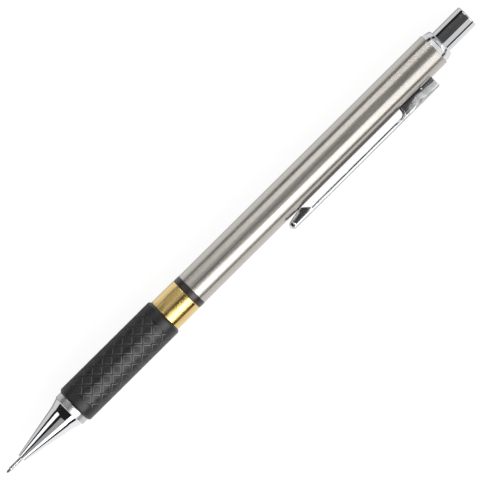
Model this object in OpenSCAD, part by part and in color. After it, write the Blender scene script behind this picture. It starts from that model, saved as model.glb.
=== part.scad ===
// Mechanical pencil for 0.5 mm leads: steel barrel, moulded grip, sprung chuck and pocket clip.
// The axis of the pencil is X. The origin is the front end of the lead pipe, +X runs to the button,
// and the clip stands off the barrel on the -Y side.

/* [Lead] */
// Diameter of a lead sold as 0.5
lead_d = 0.56; // [0.36:0.02:0.6]
// Length of a new lead
lead_len = 60; // [50:1:75]
// Length of lead shown in front of the pipe
lead_out = 1.05; // [0.4:0.05:1.4]
// Spare leads carried in the tube
spare_count = 3; // [1:1:6]

/* [Tip] */
// Outer diameter of the lead pipe
pipe_d = 0.9; // [0.85:0.05:1.1]
// Diameter of the pipe's thick base, pressed into the cone
pipe_base_d = 1.24; // [1.16:0.02:1.3]
// Length of pipe in front of the cone
pipe_out = 3.4; // [2:0.1:4.5]
// Length of pipe pressed into the cone
pipe_seat = 3; // [2:0.1:4]
// Diameter of the flat nose of the cone
nose_d = 1.85; // [1.65:0.05:2.4]
// Length of the slim cone
cone_len = 12.4; // [11.4:0.1:15]
// Diameter where the slim cone ends
cone_d = 6.56; // [6:0.02:7]
// Length of the steep flare behind the slim cone
flare_len = 2; // [1.4:0.1:2.6]
// How far the end of the flare stays under the barrel's surface
flare_drop = 0.05; // [0:0.01:0.3]
// Length of the band that meets the grip
band_len = 1.7; // [1.2:0.1:2.4]
// How far the band stands above the barrel's surface
band_proud = 0.14; // [0:0.02:0.4]
// Length of the screw spigot behind the band
screw_len = 5; // [4:0.25:7]

/* [Grip] */
// Length of the grip
grip_len = 27.5; // [24:0.5:32]
// How far the grip stands above the barrel's surface
grip_proud = 0.6; // [0.4:0.05:1.2]
// Rounding of the grip's two rims
grip_rim_r = 0.7; // [0.4:0.05:0.9]
// Smooth length at each end of the grip
grip_margin = 2.4; // [1.5:0.1:4]
// Diamond pads around the grip
pads_around = 10; // [8:1:12]
// Distance between pads along the grip
pad_pitch = 3; // [2.6:0.1:3.6]
// Side of one square pad
pad_side = 1.62; // [1.2:0.02:1.8]
// Depth of the channels between the pads
pad_depth = 0.18; // [0.1:0.02:0.3]

/* [Rings] */
// Length of the gilt ring
gilt_len = 6.7; // [4:0.1:9]
// How far the gilt ring stands above the barrel's surface
gilt_proud = 0.12; // [0:0.02:0.4]
// Length of the black spacer ring
spacer_len = 1.5; // [0.8:0.1:3]
// How far the spacer ring stands above the barrel's surface
spacer_proud = 0.05; // [0:0.01:0.3]
// Chamfer on the rims of the rings and the barrel
rim_chamfer = 0.12; // [0.05:0.01:0.2]

/* [Barrel] */
// Outer diameter of the barrel
barrel_d = 8; // [7.6:0.1:9.5]
// Wall of the barrel
barrel_wall = 0.4; // [0.3:0.05:0.6]
// Length of the barrel
barrel_len = 73.8; // [66:0.1:84]
// Length of the grip core's spigot in the barrel
spigot_len = 7; // [5:0.5:10]
// Wall of the grip core at its screw socket
core_wall = 0.4; // [0.3:0.05:0.5]
// Step from the barrel's bore down to the grip core
core_step = 0.3; // [0.2:0.05:0.4]

/* [End] */
// Length of the collar behind the barrel
collar_len = 2.1; // [1.6:0.1:3]
// Length of the straight band of the collar
collar_band = 1.1; // [0.7:0.05:1.4]
// Step from the barrel down to the collar
collar_step = 0.2; // [0.1:0.02:0.35]
// Taper of the collar's band, on the radius
collar_taper = 0.12; // [0:0.02:0.2]
// Length of the collar's seat in the barrel
collar_seat = 6.5; // [4:0.5:9]
// Diameter of the push button
button_d = 5.4; // [5:0.05:5.6]
// Length of button behind the collar
button_out = 8.1; // [7:0.1:10]
// Length of button inside the collar at rest
button_in = 6.5; // [5:0.25:7.5]
// Wall of the button
button_wall = 0.45; // [0.3:0.05:0.5]
// Thickness of the button's closed end
button_cap = 0.9; // [0.6:0.1:1.5]
// Rounding of the button's rim
button_rim_r = 0.3; // [0.1:0.05:0.5]
// Stroke of the button
press_travel = 3.5; // [2.5:0.1:3.8]
// Length of the eraser that stands out of the tube
eraser_out = 3.5; // [2:0.1:4.5]
// Length of the eraser held in the tube
eraser_in = 3.5; // [2:0.25:5]

/* [Clip] */
// Length of the clip
clip_len = 44.6; // [36:0.1:50]
// Width of the clip
clip_w = 3; // [2.6:0.1:3.8]
// Thickness of the clip's sheet
clip_sheet = 0.4; // [0.3:0.05:0.5]
// Depth of the folded arm
arm_depth = 0.95; // [0.8:0.05:1.2]
// Height of the clip's back above the barrel's surface
clip_rise = 2.55; // [2.3:0.05:3.2]
// Distance from the clip to the rear end of the barrel
clip_setback = 4.65; // [3:0.05:8]
// Length of the deep root of the clip
root_len = 9.85; // [8:0.05:13]
// Radius where the arm runs into the root
root_fillet = 1.1; // [0.6:0.05:1.15]
// Distance from the nose of the clip to the lobe's low point
lobe_at = 4.4; // [3:0.1:5]
// Radius of the lobe's low point
lobe_r = 0.9; // [0.6:0.05:1.1]
// Bend radius along the clip's back
bend_r = 0.5; // [0.45:0.05:0.7]
// Length of the saddle under the root
saddle_len = 3.2; // [2.4:0.1:5]
// Width of the saddle
saddle_w = 2.6; // [2:0.1:3.2]
// Height of the saddle above the barrel's surface
saddle_rise = 0.35; // [0.25:0.05:0.6]

/* [Chuck] */
// Length of the rubber lead retainer
retainer_len = 2.4; // [1.6:0.1:2.8]
// Diameter of the rubber lead retainer
retainer_d = 1.84; // [1.6:0.04:1.9]
// Largest diameter of the chuck's jaws
jaw_d = 3; // [2.7:0.05:3.1]
// Chamfer at the front of the jaws
jaw_chamfer = 0.45; // [0.2:0.05:0.6]
// Length from the front of the jaws to the chuck ring
jaw_lead = 2.6; // [2.2:0.1:3]
// Taper of the jaws on the radius, for each millimetre of length
jaw_taper = 0.1; // [0.06:0.01:0.12]
// Diameter of the chuck's stem
stem_d = 1.8; // [1.5:0.05:2]
// Width of the three slits between the jaws
slit_w = 0.25; // [0.15:0.05:0.4]
// Length of the three slits
slit_len = 14; // [9:0.5:17]
// Outer diameter of the chuck ring
ring_d = 3.7; // [3.5:0.05:3.9]
// Length of the chuck ring
ring_len = 2.6; // [2:0.1:3]
// Distance that the chuck ring runs before it stops
ring_travel = 0.6; // [0.4:0.05:0.8]
// Thickness of the wall that the spring pushes on
spring_wall = 1.45; // [1:0.05:2]
// Wall of the chuck sleeve
sleeve_wall = 0.4; // [0.3:0.05:0.5]
// Thickness of the flange that locks the sleeve
flange_t = 1; // [0.6:0.1:1.5]
// Length of the spring at rest
spring_len = 13; // [11:0.5:17]
// Mean diameter of the spring
spring_d = 2.74; // [2.6:0.02:2.8]
// Diameter of the spring's wire
wire_d = 0.35; // [0.25:0.05:0.4]
// Turns of the spring
spring_turns = 11; // [7:1:11]
// Outer diameter of the connector that holds the chuck
connector_d = 3.5; // [3.3:0.05:3.7]
// Length of the connector's socket
socket_len = 9.8; // [8:0.2:13]
// Depth of the stem in the socket
stem_seat = 6; // [4:0.5:7.5]
// Thickness of the shoulder between connector and tube
shoulder_t = 1.2; // [0.8:0.1:2]
// Length of the connector's plug in the tube
plug_len = 6; // [4:0.5:8]

/* [Lead tube] */
// Outer diameter of the lead tube
tube_d = 3.7; // [3.4:0.05:4]
// Wall of the lead tube
tube_wall = 0.4; // [0.3:0.05:0.5]
// Length of the thick head that the button grips
head_len = 7.5; // [5:0.25:8.5]

/* [Fits] */
// Radial gap of a piece that is pressed or screwed home
seat_gap = 0.02; // [0.01:0.01:0.04]
// Radial gap of a piece that slides
slide_gap = 0.06; // [0.04:0.01:0.08]
// Radial gap round the lead
lead_gap = 0.02; // [0.02:0.01:0.04]
// Radial gap round inner pieces that never touch
free_gap = 0.1; // [0.08:0.01:0.15]
// Gap between faces that meet end to end
end_gap = 0.02; // [0.01:0.01:0.05]
// Room left in front of a piece at the end of its stroke
stroke_room = 0.5; // [0.3:0.1:0.8]

/* [Hidden] */
$fn = 96;

// Stations along the axis, from the pipe's front end
pipe_len = pipe_out + pipe_seat;
x_flare = pipe_out + cone_len;
x_band = x_flare + flare_len;
x_grip = x_band + band_len;
x_gilt = x_grip + grip_len;
x_spacer = x_gilt + gilt_len;
x_barrel = x_spacer + spacer_len;
x_collar = x_barrel + barrel_len;
x_button = x_collar + collar_len;
x_end = x_button + button_out;

// Stations of the mechanism
x_retainer_end = pipe_len + retainer_len + end_gap;
x_jaw_room = x_retainer_end + end_gap;
x_jaw = x_jaw_room + press_travel + stroke_room;
x_ring = x_jaw + jaw_lead;
x_ring_end = x_ring + ring_len;
x_stop = x_ring - ring_travel - end_gap;
x_sleeve = x_ring_end + end_gap;
x_spring = x_sleeve + spring_wall;
x_connector = x_spring + spring_len;
x_shoulder = x_connector + socket_len;
x_tube = x_shoulder + shoulder_t;
x_sleeve_end = x_shoulder - press_travel - stroke_room;
x_screw_end = x_grip + screw_len;
x_flange = x_screw_end + end_gap;
x_flange_end = x_flange + flange_t;
x_tube_end = x_end - button_cap - eraser_out - stroke_room;

// Radii of the outside
barrel_r = barrel_d / 2;
barrel_bore_r = barrel_r - barrel_wall;
flare_r = barrel_r - flare_drop;
band_r = barrel_r + band_proud;
grip_r = barrel_r + grip_proud;
gilt_r = barrel_r + gilt_proud;
spacer_r = barrel_r + spacer_proud;
collar_r = barrel_r - collar_step;
button_r = button_d / 2;

// Radii of the inside
lead_r = lead_d / 2;
lead_bore_r = lead_r + lead_gap;
pipe_r = pipe_d / 2;
pipe_base_r = pipe_base_d / 2;
pipe_hole_r = pipe_base_r + seat_gap;
retainer_r = retainer_d / 2;
jaw_r = jaw_d / 2;
stem_r = stem_d / 2;
ring_r = ring_d / 2;
connector_r = connector_d / 2;
spring_room_r = connector_r + free_gap;
sleeve_r = spring_room_r + sleeve_wall;
core_r = barrel_bore_r - core_step;
core_bore_r = sleeve_r + seat_gap;
socket_r = core_r - core_wall;
screw_r = socket_r - seat_gap;
tube_r = tube_d / 2;
tube_bore_r = tube_r - tube_wall;
plug_r = tube_bore_r - seat_gap;
button_bore_r = button_r - button_wall;
eraser_room_r = button_bore_r - button_wall / 2;
eraser_r = eraser_room_r - free_gap;

// Round nose of the collar, between its band and the button's bore
collar_nose_r = collar_r - collar_taper;
collar_lip = 0.12;
collar_bore_r = button_r + slide_gap;
collar_nose_steps = 10;

// Clip in its side view: x along the axis, h away from the axis
clip_end = x_collar - clip_setback;
clip_nose = clip_end - clip_len;
clip_top = barrel_r + clip_rise;
arm_h = clip_top - arm_depth;
saddle_top = barrel_r + saddle_rise;
root_h = saddle_top + end_gap;
clip_root = clip_end - root_len;
skirt_h = barrel_r;
skirt_len = root_len - saddle_len - 2 * free_gap;
lobe_c = [clip_nose + lobe_at, barrel_r - free_gap / 2 + lobe_r];
nose_c = [clip_nose + arm_depth, arm_h];

// Grip texture
weave_len = grip_len - 2 * grip_margin;
pad_columns = floor(2 * weave_len / pad_pitch) - 1;
pad_start = x_gilt - grip_len / 2 - (pad_columns - 1) * pad_pitch / 4;

// Points of an arc in a turned profile: [radius, x] round the centre [cr, cx]
function arc(cr, cx, r, from, to, steps) =
    [for (i = [0:steps]) let (a = from + (to - from) * i / steps) [cr + r * cos(a), cx + r * sin(a)]];

// Points of the line that touches two circles on the side given by hand, 1 or -1
function tangent(a, ra, b, rb, hand) =
    let (
        d = norm(b - a),
        along = (b - a) / d,
        across = hand * [-along[1], along[0]],
        lean = (ra - rb) / d,
        out = along * lean + across * sqrt(1 - lean * lean)
    )
    [a + ra * out, b + rb * out];

// A profile of [radius, x] points, turned round the axis
module turned(points) {
    rotate([0, 90, 0])
        rotate_extrude()
            polygon(points);
}

// A plain tube on the axis
module tube(x0, x1, outer_r, inner_r) {
    turned([[inner_r, x0], [outer_r, x0], [outer_r, x1], [inner_r, x1]]);
}

// A plain rod on the axis
module rod(x0, x1, r) {
    translate([x0, 0, 0])
        rotate([0, 90, 0])
            cylinder(r = r, h = x1 - x0);
}

// A tube whose two outer rims are chamfered
module ring(x0, x1, outer_r, inner_r, chamfer) {
    turned([
        [inner_r, x0],
        [outer_r - chamfer, x0],
        [outer_r, x0 + chamfer],
        [outer_r, x1 - chamfer],
        [outer_r - chamfer, x1],
        [inner_r, x1]
    ]);
}

// A flat shape in the clip's side view, [x, h], given a width across the clip
module side_plate(width) {
    translate([0, 0, -width / 2])
        mirror([0, 1, 0])
            linear_extrude(width)
                children();
}

module lead() {
    color("#3b3b3f")
        rod(-lead_out, lead_len - lead_out, lead_r);
}

// Spare leads lie side by side on the floor of the tube
module spare_leads() {
    lie_r = tube_bore_r - lead_r - seat_gap;
    step = 2 * asin((lead_r + seat_gap) / lie_r);
    x_spare = x_tube + plug_len + stroke_room;
    color("#46464b")
        for (i = [0:spare_count - 1])
            rotate([(i - (spare_count - 1) / 2) * step, 0, 0])
                translate([0, 0, -lie_r])
                    rod(x_spare, x_spare + lead_len, lead_r);
}

// The pipe's thick base is pressed into the cone and ends flush with its nose
module lead_pipe() {
    bore_r = lead_bore_r + seat_gap / 2;
    color("#d5d7da")
        turned([
            [bore_r, 0],
            [pipe_r, 0],
            [pipe_r, pipe_out],
            [pipe_base_r, pipe_out],
            [pipe_base_r, pipe_len],
            [bore_r, pipe_len]
        ]);
}

// Cone, flare, band and screw spigot, bored in steps for the pipe, retainer, jaws, ring and sleeve
module tip_cone() {
    x_nose = pipe_out;
    step = band_r - flare_r;
    color("#c9ccd1")
        turned([
            [pipe_hole_r, x_nose],
            [nose_d / 2 - rim_chamfer, x_nose],
            [nose_d / 2, x_nose + rim_chamfer],
            [cone_d / 2, x_flare],
            [flare_r, x_band],
            [band_r, x_band + step],
            [band_r, x_grip - rim_chamfer],
            [band_r - rim_chamfer, x_grip],
            [screw_r, x_grip],
            [screw_r, x_screw_end],
            [sleeve_r + slide_gap, x_screw_end],
            [sleeve_r + slide_gap, x_ring_end],
            [ring_r + free_gap, x_ring_end],
            [ring_r + free_gap, x_stop],
            [jaw_r + free_gap, x_stop],
            [jaw_r + free_gap, x_jaw_room],
            [retainer_r + seat_gap, x_jaw_room],
            [retainer_r + seat_gap, pipe_len],
            [pipe_hole_r, pipe_len]
        ]);
}

module lead_retainer() {
    color("#2c2c2e")
        tube(pipe_len + end_gap, x_retainer_end, retainer_r, lead_bore_r);
}

// Brass chuck: three jaws on one stem, parted by slits, with a tapered head that the ring closes
module chuck_collet() {
    head_end_r = jaw_r - jaw_taper * (x_ring_end - x_jaw - jaw_lead / 2);
    stem_end = x_connector + stem_seat;
    color("#c8a24c")
        difference() {
            turned([
                [lead_bore_r, x_jaw],
                [jaw_r - jaw_chamfer, x_jaw],
                [jaw_r, x_jaw + jaw_chamfer],
                [jaw_r, x_jaw + jaw_lead / 2],
                [head_end_r, x_ring_end],
                [stem_r, x_ring_end],
                [stem_r, stem_end],
                [lead_bore_r, stem_end]
            ]);
            for (a = [0:120:240])
                rotate([a, 0, 0])
                    translate([x_jaw - end_gap, 0, -slit_w / 2])
                        cube([slit_len, jaw_d, slit_w]);
        }
}

// The ring's bore is the taper of the jaws
module chuck_ring() {
    wide_r = jaw_r - jaw_taper * jaw_lead / 2 + seat_gap;
    narrow_r = wide_r - jaw_taper * ring_len;
    color("#b98f3e")
        turned([[wide_r, x_ring], [ring_r, x_ring], [ring_r, x_ring_end], [narrow_r, x_ring_end]]);
}

// Guides the chuck and carries the spring; its flange is locked between the tip and the grip core
module chuck_sleeve() {
    color("#bd9a55")
        turned([
            [stem_r + free_gap, x_sleeve],
            [sleeve_r, x_sleeve],
            [sleeve_r, x_flange],
            [screw_r, x_flange],
            [screw_r, x_flange_end],
            [sleeve_r, x_flange_end],
            [sleeve_r, x_sleeve_end],
            [spring_room_r, x_sleeve_end],
            [spring_room_r, x_spring],
            [stem_r + free_gap, x_spring]
        ]);
}

// Helical spring: one unbroken tube of wire_sides sides swept along the turns
wire_sides = 6;
rings_per_turn = 8;
wire_rings = spring_turns * rings_per_turn;
spring_run = spring_len - wire_d - 2 * end_gap;
spring_pitch = spring_run / spring_turns;
function wire_point(i, k) =
    let (
        a = 360 * i / rings_per_turn,
        b = 360 * k / wire_sides,
        r = spring_d / 2 + wire_d / 2 * cos(b),
        x = x_spring + end_gap + wire_d / 2 + spring_run * i / wire_rings
    )
    [x + wire_d / 2 * sin(b), r * cos(a), r * sin(a)];

module chuck_spring() {
    points = [for (i = [0:wire_rings]) for (k = [0:wire_sides - 1]) wire_point(i, k)];
    side_faces = [
        for (i = [0:wire_rings - 1])
            for (k = [0:wire_sides - 1])
                let (a = i * wire_sides + k, b = i * wire_sides + (k + 1) % wire_sides)
                    each [[a, a + wire_sides, b + wire_sides], [a, b + wire_sides, b]]
    ];
    start_cap = [for (k = [1:wire_sides - 2]) [0, k, k + 1]];
    last = wire_rings * wire_sides;
    end_cap = [for (k = [1:wire_sides - 2]) [last, last + k + 1, last + k]];
    echo(spring_gap = spring_pitch - wire_d);
    color("#9aa0a6")
        polyhedron(points, concat(side_faces, start_cap, end_cap));
}

// Holds the chuck's stem in front and the lead tube behind, with a funnel for the leads between
module chuck_connector() {
    color("#e8e6df")
        turned([
            [stem_r + seat_gap, x_connector],
            [connector_r, x_connector],
            [connector_r, x_shoulder],
            [tube_r, x_shoulder],
            [tube_r, x_tube],
            [plug_r, x_tube],
            [plug_r, x_tube + plug_len],
            [plug_r - tube_wall, x_tube + plug_len],
            [lead_bore_r + lead_gap, x_shoulder],
            [lead_bore_r + lead_gap, x_connector + stem_seat],
            [stem_r + seat_gap, x_connector + stem_seat]
        ]);
}

module lead_tube() {
    head_r = button_bore_r - seat_gap;
    x_head = x_tube_end - head_len;
    color("#f1efe8")
        turned([
            [tube_bore_r, x_tube],
            [tube_r, x_tube],
            [tube_r, x_head - (head_r - tube_r)],
            [head_r, x_head],
            [head_r, x_tube_end - rim_chamfer],
            [head_r - rim_chamfer, x_tube_end],
            [tube_bore_r, x_tube_end]
        ]);
}

module eraser() {
    x_top = x_tube_end + eraser_out;
    color("#f4f4f2")
        turned(concat(
            [[0, x_tube_end - eraser_in], [plug_r, x_tube_end - eraser_in], [plug_r, x_tube_end]],
            [[eraser_r, x_tube_end]],
            arc(eraser_r - button_rim_r, x_top - button_rim_r, button_rim_r, 0, 90, 6),
            [[0, x_top]]
        ));
}

// A drawn cup; the step in its bore bears on the end of the lead tube
module push_button() {
    x_mouth = x_button - button_in;
    x_step = x_tube_end + end_gap;
    x_inner_end = x_end - button_cap;
    color("#c4c7cc")
        turned(concat(
            [[button_bore_r, x_mouth], [button_r - rim_chamfer, x_mouth], [button_r, x_mouth + rim_chamfer]],
            arc(button_r - button_rim_r, x_end - button_rim_r, button_rim_r, 0, 90, 6),
            [[0, x_end], [0, x_inner_end], [eraser_room_r, x_inner_end]],
            [[eraser_room_r, x_step], [button_bore_r, x_step]]
        ));
}

// Bush in the end of the barrel, with a tapered band and a round nose
module end_collar() {
    x_nose = x_collar + collar_band;
    seat_r = barrel_bore_r - seat_gap;
    nose_w = collar_nose_r - collar_bore_r - collar_lip;
    nose_l = collar_len - collar_band;
    nose = [
        for (i = [0:collar_nose_steps])
            let (a = 90 * i / collar_nose_steps)
                [collar_bore_r + collar_lip + nose_w * cos(a), x_nose + nose_l * sin(a)]
    ];
    color("#cfd2d6")
        turned(concat(
            [[collar_bore_r, x_collar - collar_seat], [seat_r, x_collar - collar_seat], [seat_r, x_collar]],
            [[collar_r, x_collar]],
            nose,
            [[collar_bore_r, x_button]]
        ));
}

module barrel_tube() {
    color("#b9b6b0")
        ring(x_barrel, x_collar, barrel_r, barrel_bore_r, rim_chamfer);
}

// Plate between the barrel and the clip's root: flat on top, hollowed to the barrel
module clip_saddle() {
    color("#aeb1b5")
        difference() {
            side_plate(saddle_w)
                translate([clip_end - saddle_len, 0])
                    square([saddle_len, saddle_top]);
            rod(clip_end - 2 * saddle_len, clip_end + saddle_len, barrel_r + seat_gap / 2);
        }
}

// Outline of the clip from the side: back, round nose, lobe, slim arm and deep root with its skirt
module clip_side() {
    slope = [1, -1] / sqrt(2);
    lobe_back = lobe_c + lobe_r * slope;
    lobe_front = tangent(nose_c, arm_depth, lobe_c, lobe_r, -1);
    arm_start = [lobe_back[0] + arm_h - lobe_back[1], arm_h];
    translate(nose_c)
        circle(arm_depth);
    translate(lobe_c)
        circle(lobe_r);
    translate([nose_c[0], arm_h])
        square([clip_end - nose_c[0], arm_depth]);
    polygon([nose_c, lobe_front[0], lobe_front[1], lobe_c, lobe_back, arm_start]);
    translate([clip_root, root_h])
        square([root_len, clip_top - root_h]);
    translate([clip_root, skirt_h])
        square([skirt_len, clip_top - skirt_h]);
    difference() {
        translate([clip_root - root_fillet, arm_h - root_fillet])
            square(root_fillet);
        translate([clip_root - root_fillet, arm_h - root_fillet])
            circle(root_fillet);
    }
}

// Hollow of the folded sheet from the side: inside the nose, under the back, above the root's floor
module clip_hollow_side() {
    inner_nose_r = arm_depth - clip_sheet;
    inner_end = clip_end - clip_sheet;
    x_floor = clip_end - saddle_len;
    translate(nose_c)
        circle(inner_nose_r);
    translate([nose_c[0] - inner_nose_r, 0])
        square([x_floor - nose_c[0] + inner_nose_r, arm_h]);
    translate([nose_c[0], 0])
        square([x_floor - nose_c[0], clip_top - clip_sheet]);
    translate([x_floor - clip_sheet, root_h + clip_sheet])
        square([inner_end - x_floor + clip_sheet, clip_top - root_h - 2 * clip_sheet]);
}

// Outline of the clip from its back: half-round nose and a square end, drawn in by inset
module clip_plan(inset) {
    half = clip_w / 2;
    translate([clip_nose + half, 0])
        circle(half - inset);
    translate([clip_nose + half, inset - half])
        square([clip_len - half - inset, clip_w - 2 * inset]);
}

// Section across the clip: a back whose two edges are bent round
module clip_section() {
    half = clip_w / 2;
    for (side = [-1, 1])
        translate([side * (half - bend_r), clip_top - bend_r])
            circle(bend_r);
    translate([-half, 0])
        square([clip_w, clip_top - bend_r]);
    translate([bend_r - half, 0])
        square([clip_w - 2 * bend_r, clip_top]);
}

// One folded and drawn sheet, open towards the barrel
module pocket_clip() {
    color("#c6c9ce")
        difference() {
            intersection() {
                side_plate(clip_w)
                    clip_side();
                rotate([90, 0, 0])
                    linear_extrude(clip_top)
                        clip_plan(0);
                translate([clip_nose, 0, 0])
                    rotate([90, 0, 90])
                        linear_extrude(clip_len)
                            rotate(90)
                                clip_section();
            }
            intersection() {
                side_plate(clip_w)
                    clip_hollow_side();
                rotate([90, 0, 0])
                    linear_extrude(clip_top)
                        clip_plan(clip_sheet);
            }
        }
}

// Inner tube of the front half: screw socket, seat for the sleeve's flange, spigot for the barrel
module grip_core() {
    spigot_r = barrel_bore_r - seat_gap;
    x_core_end = x_barrel + spigot_len;
    color("#a9a49a")
        turned([
            [socket_r, x_grip + end_gap],
            [core_r, x_grip + end_gap],
            [core_r, x_barrel],
            [spigot_r, x_barrel],
            [spigot_r, x_core_end],
            [core_bore_r, x_core_end],
            [core_bore_r, x_flange_end + end_gap],
            [socket_r, x_flange_end + end_gap]
        ]);
}

// Square pads set on their corners, in columns that are half a step apart
module grip_pads() {
    turn = 360 / pads_around;
    for (column = [0:pad_columns - 1])
        for (i = [0:pads_around - 1])
            translate([pad_start + column * pad_pitch / 2, 0, 0])
                rotate([(i + column % 2 / 2) * turn, 0, 0])
                    rotate([0, 0, 45])
                        translate([-pad_side / 2, -pad_side / 2, core_r])
                            cube([pad_side, pad_side, grip_r]);
}

module grip_sleeve() {
    bore_r = core_r + seat_gap;
    x0 = x_grip + end_gap;
    weave_from = x_grip + grip_margin;
    weave_to = x_gilt - grip_margin;
    color("#2a2a2b") {
        difference() {
            turned(concat(
                [[bore_r, x0]],
                arc(grip_r - grip_rim_r, x0 + grip_rim_r, grip_rim_r, -90, 0, 6),
                arc(grip_r - grip_rim_r, x_gilt - grip_rim_r, grip_rim_r, 0, 90, 6),
                [[bore_r, x_gilt]]
            ));
            difference() {
                tube(weave_from, weave_to, 2 * grip_r, grip_r - pad_depth);
                grip_pads();
            }
        }
    }
}

module gilt_ring() {
    color("#d8b25a")
        ring(x_gilt, x_spacer, gilt_r, core_r + seat_gap, rim_chamfer);
}

module spacer_ring() {
    color("#25211f")
        ring(x_spacer, x_barrel, spacer_r, core_r + seat_gap, rim_chamfer);
}

lead();
spare_leads();
lead_pipe();
tip_cone();
lead_retainer();
chuck_collet();
chuck_ring();
chuck_sleeve();
chuck_spring();
chuck_connector();
lead_tube();
eraser();
push_button();
end_collar();
barrel_tube();
clip_saddle();
pocket_clip();
grip_core();
grip_sleeve();
gilt_ring();
spacer_ring();
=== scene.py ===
import math
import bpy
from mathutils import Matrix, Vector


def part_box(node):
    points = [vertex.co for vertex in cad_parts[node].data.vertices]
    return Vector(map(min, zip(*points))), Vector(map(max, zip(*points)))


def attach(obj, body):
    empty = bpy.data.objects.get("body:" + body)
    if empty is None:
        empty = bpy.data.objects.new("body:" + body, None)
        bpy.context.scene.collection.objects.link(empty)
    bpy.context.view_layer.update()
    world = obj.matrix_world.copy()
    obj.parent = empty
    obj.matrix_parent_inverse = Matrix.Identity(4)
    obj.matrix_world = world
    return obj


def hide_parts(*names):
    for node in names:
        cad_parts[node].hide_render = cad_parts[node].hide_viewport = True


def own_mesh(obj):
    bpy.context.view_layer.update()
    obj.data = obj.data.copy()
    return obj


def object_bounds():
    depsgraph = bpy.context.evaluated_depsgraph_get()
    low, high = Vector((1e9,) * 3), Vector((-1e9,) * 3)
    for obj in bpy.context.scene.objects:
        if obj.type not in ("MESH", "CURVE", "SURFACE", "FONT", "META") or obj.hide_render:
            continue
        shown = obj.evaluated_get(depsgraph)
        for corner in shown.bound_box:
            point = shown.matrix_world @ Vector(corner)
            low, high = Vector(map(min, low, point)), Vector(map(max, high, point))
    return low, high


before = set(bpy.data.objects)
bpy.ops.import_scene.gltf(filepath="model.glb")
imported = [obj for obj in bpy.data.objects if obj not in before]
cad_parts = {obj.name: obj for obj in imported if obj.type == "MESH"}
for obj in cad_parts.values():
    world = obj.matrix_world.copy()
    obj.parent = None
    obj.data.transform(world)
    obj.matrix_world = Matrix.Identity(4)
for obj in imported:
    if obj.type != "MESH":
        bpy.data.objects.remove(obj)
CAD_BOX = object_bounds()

from types import SimpleNamespace

import bmesh
import bpy
import numpy as np
from bpy.props import FloatProperty, FloatVectorProperty, IntProperty, PointerProperty
from bpy.types import Operator, Panel, PropertyGroup
from mathutils import Matrix, Vector

bl_info = {
    "name": "Mechanical pencil",
    "version": (1, 0, 0),
    "blender": (4, 5, 0),
    "location": "View3D > Sidebar > Pencil",
    "description": "Builds the finished surfaces of a mechanical pencil round its CAD frame",
    "category": "Object",
}

MM = 0.001
SHELL = "barrel_assembly"
# Clearance between pieces that fit into each other, in millimetres
FIT = 0.02


def span(node):
    """First x, last x and outer radius of a turned CAD node, in millimetres."""
    low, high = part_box(node)
    return low.x / MM, high.x / MM, high.z / MM


TIP_FROM, TIP_TO, BAND_R = span("tip_cone")
GRIP_FROM, GRIP_TO, GRIP_R = span("grip_sleeve")
GILT_FROM, GILT_TO, GILT_R = span("gilt_ring")
SPACER_FROM, SPACER_TO, SPACER_R = span("spacer_ring")
BARREL_FROM, BARREL_TO, BARREL_R = span("barrel_tube")
COLLAR_FROM, COLLAR_TO, COLLAR_R = span("end_collar")
BUTTON_FROM, BUTTON_TO, BUTTON_R = span("push_button")
TUBE_FROM, TUBE_TO, TUBE_HEAD_R = span("lead_tube")
ERASER_FROM, ERASER_TO, ERASER_R = span("eraser")
PIPE_FROM, PIPE_TO, PIPE_BASE_R = span("lead_pipe")
LEAD_FROM, LEAD_TO, LEAD_R = span("lead")
SPRING_FROM, SPRING_TO, SPRING_R = span("chuck_spring")
SADDLE_FROM, SADDLE_TO, SADDLE_HALF = span("clip_saddle")
CLIP_FROM, CLIP_TO, CLIP_HALF = span("pocket_clip")
CLIP_TOP = -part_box("pocket_clip")[0].y / MM
SADDLE_TOP = -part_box("clip_saddle")[0].y / MM


# Settings

def length(name, default, description):
    """A size, given in millimetres and kept in metres."""
    return FloatProperty(
        name=name, default=default * MM, description=description,
        min=0.0, precision=5, subtype="DISTANCE", unit="LENGTH",
    )


def angle(name, default, description):
    """An angle, given in degrees and kept in radians."""
    return FloatProperty(
        name=name, default=math.radians(default), description=description, subtype="ANGLE", unit="ROTATION",
    )


def count(name, default, low, high, description):
    """A whole number."""
    return IntProperty(name=name, default=default, min=low, max=high, description=description)


def tint(name, default, description):
    """A colour that the sidebar shows as a swatch."""
    return FloatVectorProperty(
        name=name, default=default, description=description, size=3, min=0.0, max=1.0, subtype="COLOR",
    )


def share(name, default, description):
    """A plain value between 0 and 1."""
    return FloatProperty(
        name=name, default=default, description=description, min=0.0, max=1.0, subtype="FACTOR",
    )


def light(name, default, description):
    """A radiance."""
    return FloatProperty(name=name, default=default, description=description, min=0.0)


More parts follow.
